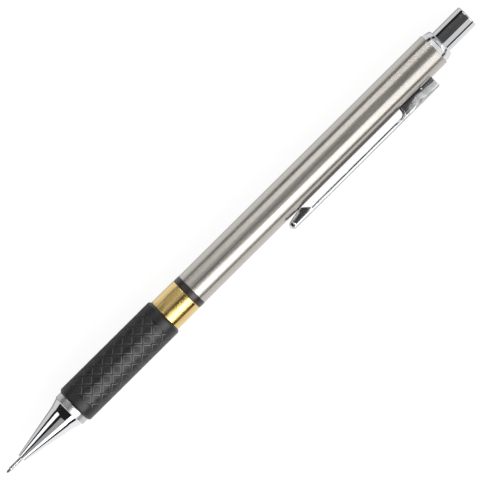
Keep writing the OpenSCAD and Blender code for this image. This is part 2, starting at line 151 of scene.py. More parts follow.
class PencilSizes(PropertyGroup):
    """Sizes of the turned and moulded pieces that the CAD boxes don't give."""

    segments: count("Segments", 112, 24, 256, "Faces round each turned piece")
    nose_radius: length("Nose radius", 0.925, "Radius of the cone's flat nose")
    nose_edge: length("Nose edge", 0.11, "Rounding of the cone's nose and of the band's rear edge")
    cone_radius: length("Cone radius", 3.28, "Radius where the slim cone ends")
    cone_length: length("Cone length", 12.4, "Length of the slim cone")
    flare_radius: length("Flare radius", 3.95, "Radius where the flare meets the band")
    flare_length: length("Flare length", 2.0, "Length of the steep flare")
    flare_fillet: length("Flare fillet", 4.0, "Radius in the hollow between cone and flare")
    band_length: length("Band length", 1.7, "Length of the band that meets the grip")
    band_edge: length("Band edge", 0.07, "Rounding of the band's front edge")
    screw_radius: length("Screw radius", 2.86, "Outer radius of the tip's thread")
    thread_pitch: length("Thread pitch", 0.5, "Pitch of the tip's thread")
    thread_depth: length("Thread depth", 0.17, "Depth of the tip's thread")
    thread_ridge: length("Thread ridge", 0.3, "Thickness of the thread's ridge")
    thread_margin: length("Thread margin", 0.6, "Plain length at each end of the thread")
    pipe_out: length("Pipe out", 3.4, "Length of the lead pipe in front of the cone")
    pipe_radius: length("Pipe radius", 0.45, "Radius of the lead pipe")
    pipe_bore: length("Pipe bore", 0.31, "Inner radius of the lead pipe")
    point_radius: length("Point radius", 0.11, "Radius of the lead's worn point")
    point_length: length("Point length", 0.4, "Length of the lead's worn point")
    grip_rim: length("Grip rim", 0.7, "Rounding of the grip's two ends")
    grip_margin: length("Grip margin", 2.4, "Smooth length at each end of the grip")
    grip_ramp: length("Grip ramp", 0.2, "Length of the step from a smooth end down to the channels")
    lip_drop: length("Lip drop", 0.006, "How far the smooth ends lie below the grip's full radius")
    pad_pitch: length("Pad pitch", 3.05, "Distance between diamond pads along the grip")
    pad_foot: length("Pad foot", 1.9, "Side of a pad at its foot")
    pad_top: length("Pad top", 1.5, "Side of a pad at the top of its bevel")
    pad_height: length("Pad height", 0.2, "Height of a pad above the channels")
    pad_sunk: length("Pad sunk", 0.08, "Depth of a pad's foot below the channels")
    pad_turn: angle("Pad turn", -12.5, "Turn of the pads' first row from the top of the grip")
    pads_around: count("Pads around", 10, 6, 16, "Diamond pads round the grip")
    core_radius: length("Core radius", 3.32, "Inner radius of the grip and of the rings")
    barrel_bore: length("Barrel bore", 3.6, "Inner radius of the barrel")
    collar_bore: length("Collar bore", 2.76, "Inner radius of the collar")
    collar_band: length("Collar band", 1.1, "Length of the collar's tapered band")
    collar_nose: length("Collar nose", 3.68, "Radius where the collar's band ends in a groove")
    collar_end: length("Collar end", 3.32, "Radius at the collar's rounded end")
    collar_round: length("Collar round", 0.8, "Rounding of the collar's end")
    groove_half: length("Groove half", 0.1, "Half the width of the collar's groove")
    groove_depth: length("Groove depth", 0.06, "Depth of the collar's groove")
    button_bore: length("Button bore", 2.25, "Inner radius of the button's mouth")
    button_step: length("Button step", 0.225, "Step from the button's mouth to the room for the eraser")
    button_wall: length("Button wall", 0.9, "Thickness of the button's end")
    button_rim: length("Button rim", 0.3, "Rounding of the button's end")
    plug_radius: length("Plug radius", 1.43, "Radius of the eraser's plug")
    tube_radius: length("Tube radius", 1.85, "Radius of the lead tube")
    tube_bore: length("Tube bore", 1.45, "Inner radius of the lead tube")
    tube_head: length("Tube head", 7.5, "Length of the head that the button grips")
    wire: length("Spring wire", 0.35, "Diameter of the spring's wire")
    spring_turns: count("Spring turns", 11, 4, 20, "Turns of the chuck spring")
    press_travel: length("Press travel", 3.5, "Way that the button goes in")


class ClipSizes(PropertyGroup):
    """Sizes of the folded pocket clip."""

    arm_depth: length("Arm depth", 0.95, "Depth of the folded arm")
    sheet: length("Sheet", 0.4, "Thickness of the folded sheet")
    bend: length("Bend", 0.6, "Bend radius along the clip's back")
    crown: angle("Crown", 4.0, "Fall of the clip's back at its bends")
    side_lean: angle("Side lean", 10.7, "Lean of the clip's sides towards its back")
    lobe_at: length("Lobe at", 4.4, "Distance from the nose to the lobe's low point")
    lobe_radius: length("Lobe radius", 0.9, "Radius of the lobe's low point")
    lobe_sink: length("Lobe sink", 0.05, "How far the lobe's two edges reach in past the barrel's radius")
    root_length: length("Root length", 9.85, "Length of the deep root")
    root_fillet: length("Root fillet", 1.1, "Radius where the arm runs into the root")
    root_low: length("Root low edge", 4.37, "Distance from the axis to the root's low edge")
    root_rim: length("Root rim", 0.02, "Rounding of the root's low edge")
    skirt_low: length("Skirt low edge", 4.0, "Distance from the axis to the low edge of the root's skirt")
    skirt_gap: length("Skirt gap", 0.2, "Distance from the skirt's end to the foot plate")
    skirt_turn: length("Skirt turn", 0.12, "Length over which the skirt's corners turn")
    lean_drop: length("Lean drop", 0.25, "How far below the root's low edge its lean starts in the middle")
    rim: length("Rim", 0.1, "Rounding of the sheet's edges along the arm")
    drawn_rim: length("Drawn rim", 0.65, "Rounding of the edges that are drawn in at the nose")
    slot_chamfer: length("Slot chamfer", 0.5, "Chamfer of the sheet round the rear end of the slot")
    end_round: length("End round", 0.16, "Rounding of the clip's rear end")
    foot_bevel: length("Foot bevel", 0.05, "Bevel of the foot plate's edges")


class PencilColours(PropertyGroup):
    """Colours of the pencil's finishes."""

    steel: tint("Satin steel", (0.50, 0.474, 0.437), "Drawn steel of the barrel")
    chrome: tint("Chrome", (0.78, 0.785, 0.80), "Plating of tip, clip, collar and button")
    gilt: tint("Gilt", (0.72, 0.505, 0.17), "Gold-coloured ring")
    rubber: tint("Grip rubber", (0.011, 0.011, 0.0113), "Moulded grip")
    # Colour of the painted highlight on the rims of the grip's pads
    rim_highlight: tint("Painted rim highlight", (0.3, 0.3, 0.302), "Rims of the grip's pads")
    black: tint("Black plastic", (0.022, 0.019, 0.016), "Spacer ring and lead retainer")
    brass: tint("Brass", (0.72, 0.52, 0.22), "Chuck, ring and sleeve")
    core: tint("Aluminium", (0.66, 0.65, 0.62), "Turned core inside the grip")
    tube: tint("Tube plastic", (0.80, 0.79, 0.74), "Lead tube and connector")
    eraser: tint("Eraser", (0.84, 0.84, 0.82), "Eraser under the button")
    graphite: tint("Graphite", (0.13, 0.13, 0.138), "Leads")
    wire: tint("Spring steel", (0.50, 0.51, 0.53), "Chuck spring")


class StageSettings(PropertyGroup):
    """Light, floor and camera."""

    right_light: light("Right light", 2.6, "Radiance of the soft box on the clip's side")
    left_light: light("Left light", 1.45, "Radiance of the soft box on the other side")
    rear_light: light("Rear light", 0.85, "Radiance beside and beyond the push button")
    front_light: light("Front light", 0.38, "Radiance of the grey panel in front of the tip")
    light_distance: length("Light distance", 500, "Distance from the pencil to the soft boxes")
    room: tint("Room", (0.018, 0.0175, 0.0165), "Dark of the room above the pencil")
    floor: tint("Floor", (0.15, 0.15, 0.15), "Colour of the floor where it takes the light")
    floor_glow: share("Floor white", 0.9, "White that the floor shows on top of the light that it takes")
    # The shares below paint shade into the floor's white that metal mirrors, and the barrel lift paints light
    # into it
    tip_shade: share("Tip shade", 0.3, "Share of that white which the tip doesn't mirror")
    grip_shade: share("Grip shade", 0.5, "Share of that white which the grip doesn't mirror")
    barrel_lift: share("Barrel lift", 0.15, "White that the barrel mirrors beyond its full share")
    button_shade: share("Button shade", 0.2, "Share of that white which the push button doesn't mirror")
    edge_shade: share("Edge shade", 0.42, "Share of that white which is lost close to the pencil")
    clip_shade: share("Clip shade", 0.9, "Share of that white which is lost below the clip")
    camera_distance: length("Camera distance", 1153.3, "Height of the camera above the axis")
    target: length("Target", 70.15, "Station on the axis that the camera is centred on")
    aside: length("Aside", 0.22, "Distance of the camera's centre from the axis, away from the clip")
    lean: angle("Lean", 44.76, "Angle of the pencil in the picture")


def millimetres(group):
    """A group's settings as plain values, with its lengths in millimetres."""
    kinds = group.bl_rna.properties
    values = {label: getattr(group, label) for label in type(group).__annotations__}
    lengths = {label: value / MM for label, value in values.items() if kinds[label].unit == "LENGTH"}
    return SimpleNamespace(**{**values, **lengths})


def tip_stations(size):
    """Stations where the tip's flare, its band and the grip begin."""
    flare = size.pipe_out + size.cone_length
    band = flare + size.flare_length
    return flare, band, band + size.band_length


# Node trees

class Nodes:
    """A node tree under construction."""

    def __init__(self, tree):
        self.tree = tree

    def feed(self, socket, value):
        """Joins a socket to another one, or sets it to a plain value."""
        if isinstance(value, bpy.types.NodeSocket):
            self.tree.links.new(value, socket)
        else:
            socket.default_value = value

    def node(self, kind, sockets=(), **options):
        """A node with its options set and its inputs fed."""
        made = self.tree.nodes.new(kind)
        for label, value in options.items():
            setattr(made, label, value)
        for label, value in dict(sockets).items():
            self.feed(made.inputs[label], value)
        return made

    def maths(self, operation, *values):
        """A maths node on sockets or numbers."""
        return self.node("ShaderNodeMath", enumerate(values), operation=operation).outputs[0]

    def plus(self, a, b):
        """Two values added."""
        return self.maths("ADD", a, b)

    def minus(self, a, b):
        """The first value less the second."""
        return self.maths("SUBTRACT", a, b)

    def times(self, a, b):
        """Two values multiplied."""
        return self.maths("MULTIPLY", a, b)

    def parts(self, vector):
        """The X, Y and Z of a vector."""
        return self.node("ShaderNodeSeparateXYZ", {0: vector}).outputs

    def vector(self, *parts):
        """A vector from its X, Y and Z."""
        return self.node("ShaderNodeCombineXYZ", enumerate(parts)).outputs[0]

    def noise(self, vector, scale, detail, rough=0.5):
        """A noise texture on a vector."""
        sockets = {"Vector": vector, "Scale": scale, "Detail": detail, "Roughness": rough}
        return self.node("ShaderNodeTexNoise", sockets).outputs["Fac"]

    def spread(self, value, low, high, to_low=0.0, to_high=1.0):
        """A value from low to high, mapped smoothly to a new range and held inside it."""
        sockets = {"Value": value, "From Min": low, "From Max": high, "To Min": to_low, "To Max": to_high}
        return self.node("ShaderNodeMapRange", sockets, interpolation_type="SMOOTHSTEP").outputs["Result"]

    def window(self, value, rise, fall):
        """1 where a value lies between two slopes, each given by where it starts and ends, and 0 outside."""
        return self.times(self.spread(value, *rise), self.spread(value, *fall, 1.0, 0.0))


def drawn_streaks(made, given, out):
    """Streaks that drawing and polishing leave along the axis."""
    x, y, z = made.parts(given["Vector"])
    place = made.vector(made.times(x, given["Length"]), y, z)
    fine = made.noise(place, given["Fineness"], 3.0, 0.6)
    broad = made.noise(place, made.times(given["Fineness"], 0.22), 2.0)
    both = made.maths("MULTIPLY_ADD", fine, 0.6, made.times(broad, 0.4))
    made.feed(out["Mask"], made.spread(both, 0.36, 0.64))
    made.feed(out["Height"], fine)


def handling_film(made, given, out):
    """Soft blotches of handling: a film that dulls a polished surface a little."""
    broad = made.noise(given["Vector"], given["Size"], 2.0)
    fine = made.noise(given["Vector"], made.times(given["Size"], 7.0), 4.0, 0.65)
    both = made.times(made.spread(broad, 0.42, 0.68), made.spread(fine, 0.3, 0.7, 0.4, 1.0))
    made.feed(out["Mask"], both)


def moulded_grain(made, given, out):
    """Fine grain of a moulded or cast surface."""
    place, fineness = given["Vector"], given["Fineness"]
    cells = made.node("ShaderNodeTexVoronoi", {"Vector": place, "Scale": fineness}).outputs["Distance"]
    fine = made.noise(place, made.times(fineness, 0.6), 4.0, 0.6)
    broad = made.noise(place, made.times(fineness, 0.05), 3.0)
    made.feed(out["Height"], made.maths("MULTIPLY_ADD", cells, 0.5, fine))
    made.feed(out["Mask"], made.spread(broad, 0.35, 0.65))


# Builder, inputs besides the vector, and outputs of each effect that materials share
EFFECTS = {
    "drawn_streaks": (drawn_streaks, {"Fineness": 9000.0, "Length": 0.02}, ("Mask", "Height")),
    "handling_film": (handling_film, {"Size": 160.0}, ("Mask",)),
    "moulded_grain": (moulded_grain, {"Fineness": 9000.0}, ("Mask", "Height")),
}


def effect_named(name):
    """A shader group that materials share, built when it is first asked for."""
    found = bpy.data.node_groups.get(name)
    if found:
        return found
    build, inputs, outputs = EFFECTS[name]
    tree = bpy.data.node_groups.new(name, "ShaderNodeTree")
    tree.interface.new_socket("Vector", in_out="INPUT", socket_type="NodeSocketVector")
    for label, default in inputs.items():
        socket = tree.interface.new_socket(label, in_out="INPUT", socket_type="NodeSocketFloat")
        socket.default_value = default
    for label in outputs:
        tree.interface.new_socket(label, in_out="OUTPUT", socket_type="NodeSocketFloat")
    given = tree.nodes.new("NodeGroupInput").outputs
    build(Nodes(tree), given, tree.nodes.new("NodeGroupOutput").inputs)
    return tree


# Materials

class Finish(Nodes):
    """A material under construction, with its Principled shader and its Object coordinates."""

    def __init__(self, name, colour, metallic=0.0):
        self.material = bpy.data.materials.new(name)
        self.material.use_nodes = True
        self.material.diffuse_color = (*colour, 1.0)
        super().__init__(self.material.node_tree)
        self.colour = colour
        self.shader = next(n for n in self.tree.nodes if n.type == "BSDF_PRINCIPLED").inputs
        self.shader["Metallic"].default_value = metallic
        self.place = self.node("ShaderNodeTexCoord").outputs["Object"]

    def effect(self, name, **values):
        """A shared effect in this material, with its own values."""
        sockets = {"Vector": self.place, **values}
        return self.node("ShaderNodeGroup", sockets, node_tree=effect_named(name)).outputs

    def mark(self, name):
        """A mark that the piece's mesh carries."""
        return self.node("ShaderNodeAttribute", attribute_name=name).outputs["Fac"]

    def paint(self, factor, one, other):
        """Base colour between two colours."""
        mixed = self.node("ShaderNodeMix", {"Factor": factor, "A": one, "B": other}, data_type="RGBA")
        self.feed(self.shader["Base Color"], mixed.outputs["Result"])

    def vary_colour(self, mask, low, high):
        """Base colour between two shades of the finish's colour."""
        self.paint(mask, *[(*[min(1.0, c * shade) for c in self.colour], 1.0) for shade in (low, high)])

    def turn_colour(self, factor, colour):
        """Lets the base colour go over to another one."""
        self.paint(factor, self.shader["Base Color"].links[0].from_socket, (*colour, 1.0))

    def vary_roughness(self, mask, low, high):
        """Roughness between two values."""
        self.feed(self.shader["Roughness"], self.spread(mask, 0.0, 1.0, low, high))

    def bump(self, height, depth):
        """Fine relief, with its depth in millimetres."""
        relief = self.node("ShaderNodeBump", {"Strength": 1.0, "Distance": depth * MM, "Height": height})
        self.feed(self.shader["Normal"], relief.outputs["Normal"])


def satin_steel(name, colour, rough=(0.2, 0.27), metallic=0.78):
    """Steel with fine lines along the axis; a satin surface also scatters some light evenly."""
    finish = Finish(name, colour, metallic)
    streaks = finish.effect("drawn_streaks", Fineness=5200.0, Length=0.012)
    finish.vary_colour(streaks["Mask"], 0.94, 1.06)
    finish.vary_roughness(streaks["Mask"], *rough)
    finish.bump(streaks["Height"], 0.0012)
    return finish


def polished_metal(name, colour, rough, size=170.0, lacquer=0.0):
    """Plated or polished metal with a faint film of handling, under clear lacquer where asked."""
    finish = Finish(name, colour, 1.0)
    film = finish.effect("handling_film", Size=size)
    finish.vary_colour(film["Mask"], 1.02, 0.95)
    finish.vary_roughness(film["Mask"], *rough)
    finish.shader["Coat Weight"].default_value = lacquer
    finish.shader["Coat Roughness"].default_value = 0.05
    return finish


def clip_plating(name, colour, rough, size, inside):
    """Polished plating, darker on the inside of the fold as painted shade."""
    finish = polished_metal(name, colour, rough, size)
    # The inside of the fold is painted darker, a painted shade
    finish.turn_colour(finish.mark("inside"), [c * inside for c in colour])
    return finish


def tip_plating(name, colour, rough, satin_rough, satin_shade):
    """Polished plating whose band next to the grip is left satin between its rounded edges."""
    finish = Finish(name, colour, 1.0)
    film = finish.effect("handling_film", Size=170.0)
    size = millimetres(bpy.context.scene.pencil_sizes)
    _, band, grip = tip_stations(size)
    along = finish.parts(finish.place)["X"]
    first = band + BAND_R - size.flare_radius - 0.3 * size.band_edge
    last = grip - 0.9 * size.nose_edge
    behind = finish.maths("GREATER_THAN", along, first * MM)
    before = finish.maths("LESS_THAN", along, last * MM)
    satin = finish.times(behind, before)
    finish.vary_colour(satin, 1.0, satin_shade)
    polish = finish.spread(film["Mask"], 0.0, 1.0, *rough)
    finish.feed(finish.shader["Roughness"], finish.maths("MULTIPLY_ADD", satin, satin_rough, polish))
    return finish


def turned_metal(name, colour):
    """Turned brass, aluminium or drawn wire with fine tool lines."""
    finish = Finish(name, colour, 1.0)
    streaks = finish.effect("drawn_streaks", Fineness=2600.0, Length=5.0)
    finish.vary_colour(streaks["Mask"], 0.88, 1.08)
    finish.vary_roughness(streaks["Mask"], 0.2, 0.36)
    return finish


def moulded(name, colour, rough, fineness, depth, shades=(0.9, 1.1)):
    """Moulded plastic, rubber or graphite with its grain."""
    finish = Finish(name, colour)
    grain = finish.effect("moulded_grain", Fineness=fineness)
    finish.vary_colour(grain["Mask"], *shades)
    finish.vary_roughness(grain["Mask"], *rough)
    finish.bump(grain["Height"], depth)
    return finish


def grip_rubber(name, colour, **grain):
    """Moulded rubber with a painted highlight: paler along the rims of its pads on the clip's side."""
    finish = moulded(name, colour, **grain)
    aside = finish.times(finish.parts(finish.place)["Y"], 1 / MM)
    # The painted highlight is held to the lit side: it fades past the top of the grip and towards its edge on
    # the clip's side
    past_top = finish.spread(aside, -0.9, 0.8, 1.0, 0.2)
    near_clip_edge = finish.spread(aside, -3.2, -2.1, 0.35, 1.0)
    worn = finish.times(finish.mark("scuff"), finish.times(past_top, near_clip_edge))
    finish.turn_colour(worn, bpy.context.scene.pencil_colours.rim_highlight)
    return finish


# Maker, colour, share of the colour and values of each finish; a finish has the name of its slot
FINISHES = {
    "barrel_steel": (satin_steel, "steel", 1.0, {}),
    "pipe_steel": (satin_steel, "chrome", 0.9, dict(rough=(0.08, 0.14), metallic=1.0)),
    "tip_chrome": (tip_plating, "chrome", 1.0, dict(rough=(0.03, 0.08), satin_rough=0.25, satin_shade=0.7)),
    "button_chrome": (polished_metal, "chrome", 0.86, dict(rough=(0.035, 0.05))),
    "collar_chrome": (polished_metal, "chrome", 0.9, dict(rough=(0.14, 0.2))),
    "clip_chrome": (clip_plating, "chrome", 0.8, dict(rough=(0.16, 0.24), size=120.0, inside=0.375)),
    "gilt": (polished_metal, "gilt", 1.0, dict(rough=(0.17, 0.24), lacquer=1.0)),
    "chuck_brass": (turned_metal, "brass", 1.0, {}),
    "sleeve_brass": (turned_metal, "brass", 0.95, {}),
    "core_aluminium": (turned_metal, "core", 1.0, {}),
    "spring_steel": (turned_metal, "wire", 1.0, {}),
    "spacer_plastic": (moulded, "black", 1.0, dict(rough=(0.2, 0.32), fineness=5000.0, depth=0.001)),
    "retainer_rubber": (moulded, "black", 1.0, dict(rough=(0.5, 0.65), fineness=6000.0, depth=0.004)),
    "feed_plastic": (moulded, "tube", 1.0, dict(
        rough=(0.28, 0.4), fineness=3000.0, depth=0.001, shades=(0.96, 1.03))),
    "eraser_rubber": (moulded, "eraser", 1.0, dict(
        rough=(0.6, 0.75), fineness=2600.0, depth=0.012, shades=(0.95, 1.03))),
    "graphite": (moulded, "graphite", 1.0, dict(
        rough=(0.3, 0.45), fineness=8000.0, depth=0.002, shades=(0.8, 1.25))),
    "grip_rubber": (grip_rubber, "rubber", 1.0, dict(
        rough=(0.36, 0.44), fineness=4200.0, depth=0.006, shades=(0.85, 1.15))),
}


def finish_named(name):
    """A material of the pencil, made when it is first asked for."""
    found = bpy.data.materials.get("finish_" + name)
    if found:
        return found
    maker, colour, part, values = FINISHES[name]
    colour = [c * part for c in getattr(bpy.context.scene.pencil_colours, colour)]
    return maker("finish_" + name, colour, **values).material


# Mesh tools

# Turn between the points of a fillet, and the most of an edge that a fillet may take
FILLET_STEP, FILLET_SHARE = math.radians(13), 0.48
# Distance in millimetres from a fillet to the support point beside it, and the most of an edge it may take
SUPPORT, SUPPORT_SHARE = 0.04, 0.49
# Points closer than this, in metres, are one point
WELD = 1e-7
# Edges that turn by more than this, in degrees, stay sharp
CREASE = 32.0


def rounded(corners, closed):
    """Points of a profile with its corners (x, r, fillet) rounded, and a support point beside each fillet."""
    points, total = [], len(corners)
    for i, (x, r, fillet) in enumerate(corners):
        here = Vector((x, r))
        if fillet <= 0 or (not closed and i in (0, total - 1)):
            points.append(here)
            continue
        sides = [Vector(corners[k % total][:2]) - here for k in (i - 1, i + 1)]
        ways = [side.normalized() for side in sides]
        half = sides[0].angle(sides[1]) / 2
        reach = min(fillet / math.tan(half), *[FILLET_SHARE * side.length for side in sides])
        radius = reach * math.tan(half)
        centre = here + (ways[0] + ways[1]).normalized() * radius / math.sin(half)
        first, last = [here + way * reach - centre for way in ways]
        start = math.atan2(first.y, first.x)
        sweep = (math.atan2(last.y, last.x) - start + math.pi) % (2 * math.pi) - math.pi
        steps = max(3, round(abs(sweep) / FILLET_STEP))
        turns = [start + sweep * k / steps for k in range(steps + 1)]
        arc = [centre + radius * Vector((math.cos(a), math.sin(a))) for a in turns]
        margins = [min(reach + SUPPORT, SUPPORT_SHARE * side.length) for side in sides]
        before, after = [
            [here + way * margin] if margin > 1.01 * reach else [] for way, margin in zip(ways, margins)]
        points += before + arc + after
    return points


def turned(corners, closed=True):
    """Vertices and faces of a profile of (x, r, fillet) corners in millimetres, turned round the axis."""
    sides = bpy.context.scene.pencil_sizes.segments
    around = [2 * math.pi * k / sides for k in range(sides)]
    verts, rings = [], []
    for x, r in rounded(corners, closed):
        if r < 1e-6:
            rings.append([len(verts)] * sides)
            verts.append((x, 0.0, 0.0))
        else:
            rings.append(list(range(len(verts), len(verts) + sides)))
            verts.extend((x, r * math.sin(a), r * math.cos(a)) for a in around)
    faces = []
    for one, two in list(zip(rings, rings[1:])) + [(rings[-1], rings[0])] * closed:
        for k in range(sides):
            n = (k + 1) % sides
            face = list(dict.fromkeys((one[k], one[n], two[n], two[k])))
            if len(face) > 2:
                faces.append(face)
    return verts, faces


def finished(mesh, crease=CREASE):
    """Welds a closed mesh, turns its faces outwards and smooths it up to the crease angle."""
    work = bmesh.new()
    work.from_mesh(mesh)
    bmesh.ops.remove_doubles(work, verts=work.verts, dist=WELD)
    bmesh.ops.recalc_face_normals(work, faces=work.faces)
    work.to_mesh(mesh)
    work.free()
    if not mesh.polygons:
        raise RuntimeError(mesh.name + " has no faces")
    mesh.shade_smooth()
    mesh.set_sharp_from_angle(angle=math.radians(crease))
    return mesh


def mesh_of(name, verts, faces, crease=CREASE):
    """A finished mesh from points in millimetres."""
    mesh = bpy.data.meshes.new(name)
    mesh.from_pydata([Vector(v) * MM for v in verts], [], faces)
    return finished(mesh, crease)


def modified(name, mesh, kind, prepare, crease=CREASE):
    """The finished mesh that a modifier makes of another mesh, which it uses up."""
    holder = bpy.data.objects.new(name, mesh)
    bpy.context.scene.collection.objects.link(holder)
    modifier = holder.modifiers.new("build", kind)
    prepare(modifier)
    depsgraph = bpy.context.evaluated_depsgraph_get()
    made = bpy.data.meshes.new_from_object(holder.evaluated_get(depsgraph))
    holder.modifiers.remove(modifier)
    bpy.data.objects.remove(holder)
    bpy.data.meshes.remove(mesh)
    made.name = name
    return finished(made, crease)


def coat(mesh, slot):
    """Gives a mesh its finish."""
    mesh.materials.clear()
    mesh.materials.append(finish_named(slot))


def place(name, mesh, slot, body, *nodes):
    """Puts a finished mesh in the scene as a piece of the pencil that stands for CAD nodes."""
    piece = bpy.data.objects.new(name, mesh)
    bpy.context.scene.collection.objects.link(piece)
    coat(mesh, slot)
    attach(piece, body)
    if nodes:
        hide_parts(*nodes)
    return piece


def place_turned(name, corners, slot, body, *nodes, closed=True):
    """Turns a profile and puts it in the scene."""
    return place(name, mesh_of(name, *turned(corners, closed)), slot, body, *nodes)


def ring(first, last, bore, radius, inner_edge, front_edge, rear_edge):
    """Corners of a plain ring or tube."""
    return [(first, bore, inner_edge), (first, radius, front_edge),
            (last, radius, rear_edge), (last, bore, inner_edge)]


# Geometry node trees

class Tree(Nodes):
    """A geometry node tree under construction, with named inputs."""

    def __init__(self, name, **inputs):
        super().__init__(bpy.data.node_groups.new(name, "GeometryNodeTree"))
        sockets = self.tree.interface
        sockets.new_socket("Geometry", in_out="INPUT", socket_type="NodeSocketGeometry")
        for label, default in inputs.items():
            kind = "NodeSocketInt" if isinstance(default, int) else "NodeSocketFloat"
            sockets.new_socket(label, in_out="INPUT", socket_type=kind).default_value = default
        sockets.new_socket("Material", in_out="INPUT", socket_type="NodeSocketMaterial")
        sockets.new_socket("Geometry", in_out="OUTPUT", socket_type="NodeSocketGeometry")
        self.given = self.tree.nodes.new("NodeGroupInput").outputs
        self.out = self.tree.nodes.new("NodeGroupOutput").inputs

    def made(self, kind, sockets=()):
        """The first output of a geometry node."""
        return self.node("GeometryNode" + kind, sockets).outputs[0]

    def moved(self, geometry, place):
        """Geometry whose points are set to new places."""
        return self.made("SetPosition", {"Geometry": geometry, "Position": place})

    def finish(self, geometry):
        """Ends the tree in plain, painted geometry."""
        real = self.made("RealizeInstances", {0: geometry})
        painted = self.made("SetMaterial", {"Geometry": real, "Material": self.given["Material"]})
        self.feed(self.out[0], painted)
        return self.tree


def diamond_pads_tree():
    """Bevelled square pads on their corners, in staggered columns, wrapped round the grip."""
    tree = Tree("diamond_pads", Start=0.0, Pitch=0.003, Columns=14, Around=10, Radius=0.0044, Turn=0.0,
                Foot=0.0019, Top=0.0015, Height=0.0002, Sunk=0.00008)
    given, plus, minus, times = tree.given, tree.plus, tree.minus, tree.times
    # One pad: a block whose top is drawn in to a bevel and a soft crown
    block = tree.made("MeshCube", {
        "Size": (2.0, 2.0, 2.0), "Vertices X": 7, "Vertices Y": 7, "Vertices Z": 2})
    x, y, z = tree.parts(tree.made("InputPosition"))
    across = tree.maths("MAXIMUM", tree.maths("ABSOLUTE", x), tree.maths("ABSOLUTE", y))
    top = tree.maths("GREATER_THAN", z, 0.0)
    rings = tree.node("ShaderNodeFloatCurve", {"Value": across})
    curve = rings.mapping.curves[0]
    curve.points[0].location, curve.points[1].location = (0.0, 0.0), (1.0, 1.0)
    for ring_at, drawn_to in ((0.3333, 0.52), (0.6667, 0.9)):
        curve.points.new(ring_at, drawn_to)
    for point in curve.points:
        point.handle_type = "VECTOR"
    rings.mapping.update()
    top_half = times(rings.outputs[0], times(given["Top"], 0.5))
    foot_half = times(across, times(given["Foot"], 0.5))
    half = plus(times(top, minus(top_half, foot_half)), foot_half)
    draw_in = tree.maths("DIVIDE", half, tree.maths("MAXIMUM", across, 1e-6))
    crown = tree.node("ShaderNodeMapRange", {
        "Value": across, "From Min": 0.6, "From Max": 1.0, "To Min": 1.0, "To Max": 0.76}).outputs[0]
    level = minus(times(top, plus(times(given["Height"], crown), given["Sunk"])), given["Sunk"])
    rim = times(top, tree.maths("GREATER_THAN", across, 0.9))
    # The rims of the pads' tops are marked, and the rubber's finish paints a highlight there
    marked = tree.made("StoreNamedAttribute", {"Geometry": block, "Name": "scuff", "Value": rim})
    pad = tree.moved(marked, tree.vector(times(x, draw_in), times(y, draw_in), level))
    # The flat lattice: columns along x, every other one half a step round
    index = tree.made("InputIndex")
    column = tree.maths("FLOOR", tree.maths("DIVIDE", plus(index, 0.5), given["Around"]))
    row = minus(index, times(column, given["Around"]))
    odd = times(tree.maths("MODULO", column, 2.0), 0.5)
    step = tree.maths("DIVIDE", times(given["Radius"], 2 * math.pi), given["Around"])
    along = plus(given["Start"], times(column, times(given["Pitch"], 0.5)))
    points = tree.made("Points", {"Count": times(given["Columns"], given["Around"])})
    laid = tree.moved(points, tree.vector(along, times(plus(row, odd), step)))
    on_corner = (0.0, 0.0, math.pi / 4)
    pads = tree.made("InstanceOnPoints", {"Points": laid, "Instance": pad, "Rotation": on_corner})
    real = tree.made("RealizeInstances", {0: pads})
    # Wrapped round the axis
    x, y, z = tree.parts(tree.made("InputPosition"))
    turn = plus(tree.maths("DIVIDE", y, given["Radius"]), given["Turn"])
    out = plus(given["Radius"], z)
    wrapped = tree.vector(x, times(out, tree.maths("SINE", turn)), times(out, tree.maths("COSINE", turn)))
    return tree.finish(tree.moved(real, wrapped))


def helix_tree():
    """A wire or thread ridge wound round the axis."""
    tree = Tree("helix", Start=0.0, Length=0.01, Turns=10.0, Radius=0.001, Wire=0.0003, Sides=10, Steps=32)
    given = tree.given
    path = tree.made("CurveSpiral", {
        "Resolution": given["Steps"], "Rotations": given["Turns"], "Start Radius": given["Radius"],
        "End Radius": given["Radius"], "Height": given["Length"]})
    section = tree.made("CurvePrimitiveCircle", {
        "Resolution": given["Sides"], "Radius": tree.times(given["Wire"], 0.5)})
    wound = tree.made("CurveToMesh", {"Curve": path, "Profile Curve": section, "Fill Caps": True})
    laid = tree.made("Transform", {
        "Geometry": wound, "Translation": tree.vector(given["Start"]), "Rotation": (0.0, math.pi / 2, 0.0)})
    return tree.finish(laid)


TREES = {"diamond_pads": diamond_pads_tree, "helix": helix_tree}


def grown(name, tree_name, slot, lengths, values, crease=CREASE):
    """The plain mesh that a geometry node tree makes from lengths in millimetres and other values."""
    tree = bpy.data.node_groups.get(tree_name) or TREES[tree_name]()
    inputs = {**values, "Material": finish_named(slot)}
    inputs.update({label: value * MM for label, value in lengths.items()})

    def prepare(modifier):
        modifier.node_group = tree
        for item in tree.interface.items_tree:
            if item.in_out == "INPUT" and item.name in inputs:
                modifier[item.identifier] = inputs[item.name]

    return modified(name, bpy.data.meshes.new(name + "_seed"), "NODES", prepare, crease)


# The clip

def ease(value, low, high):
    """0 below low, 1 above high, smooth between."""
    t = min(1.0, max(0.0, (value - low) / (high - low)))
    return t * t * (3 - 2 * t)


def half_chord(radius, offset):
    """Half the width of a circle at an offset from its middle."""
    return math.sqrt(max(0.0, radius ** 2 - offset ** 2))


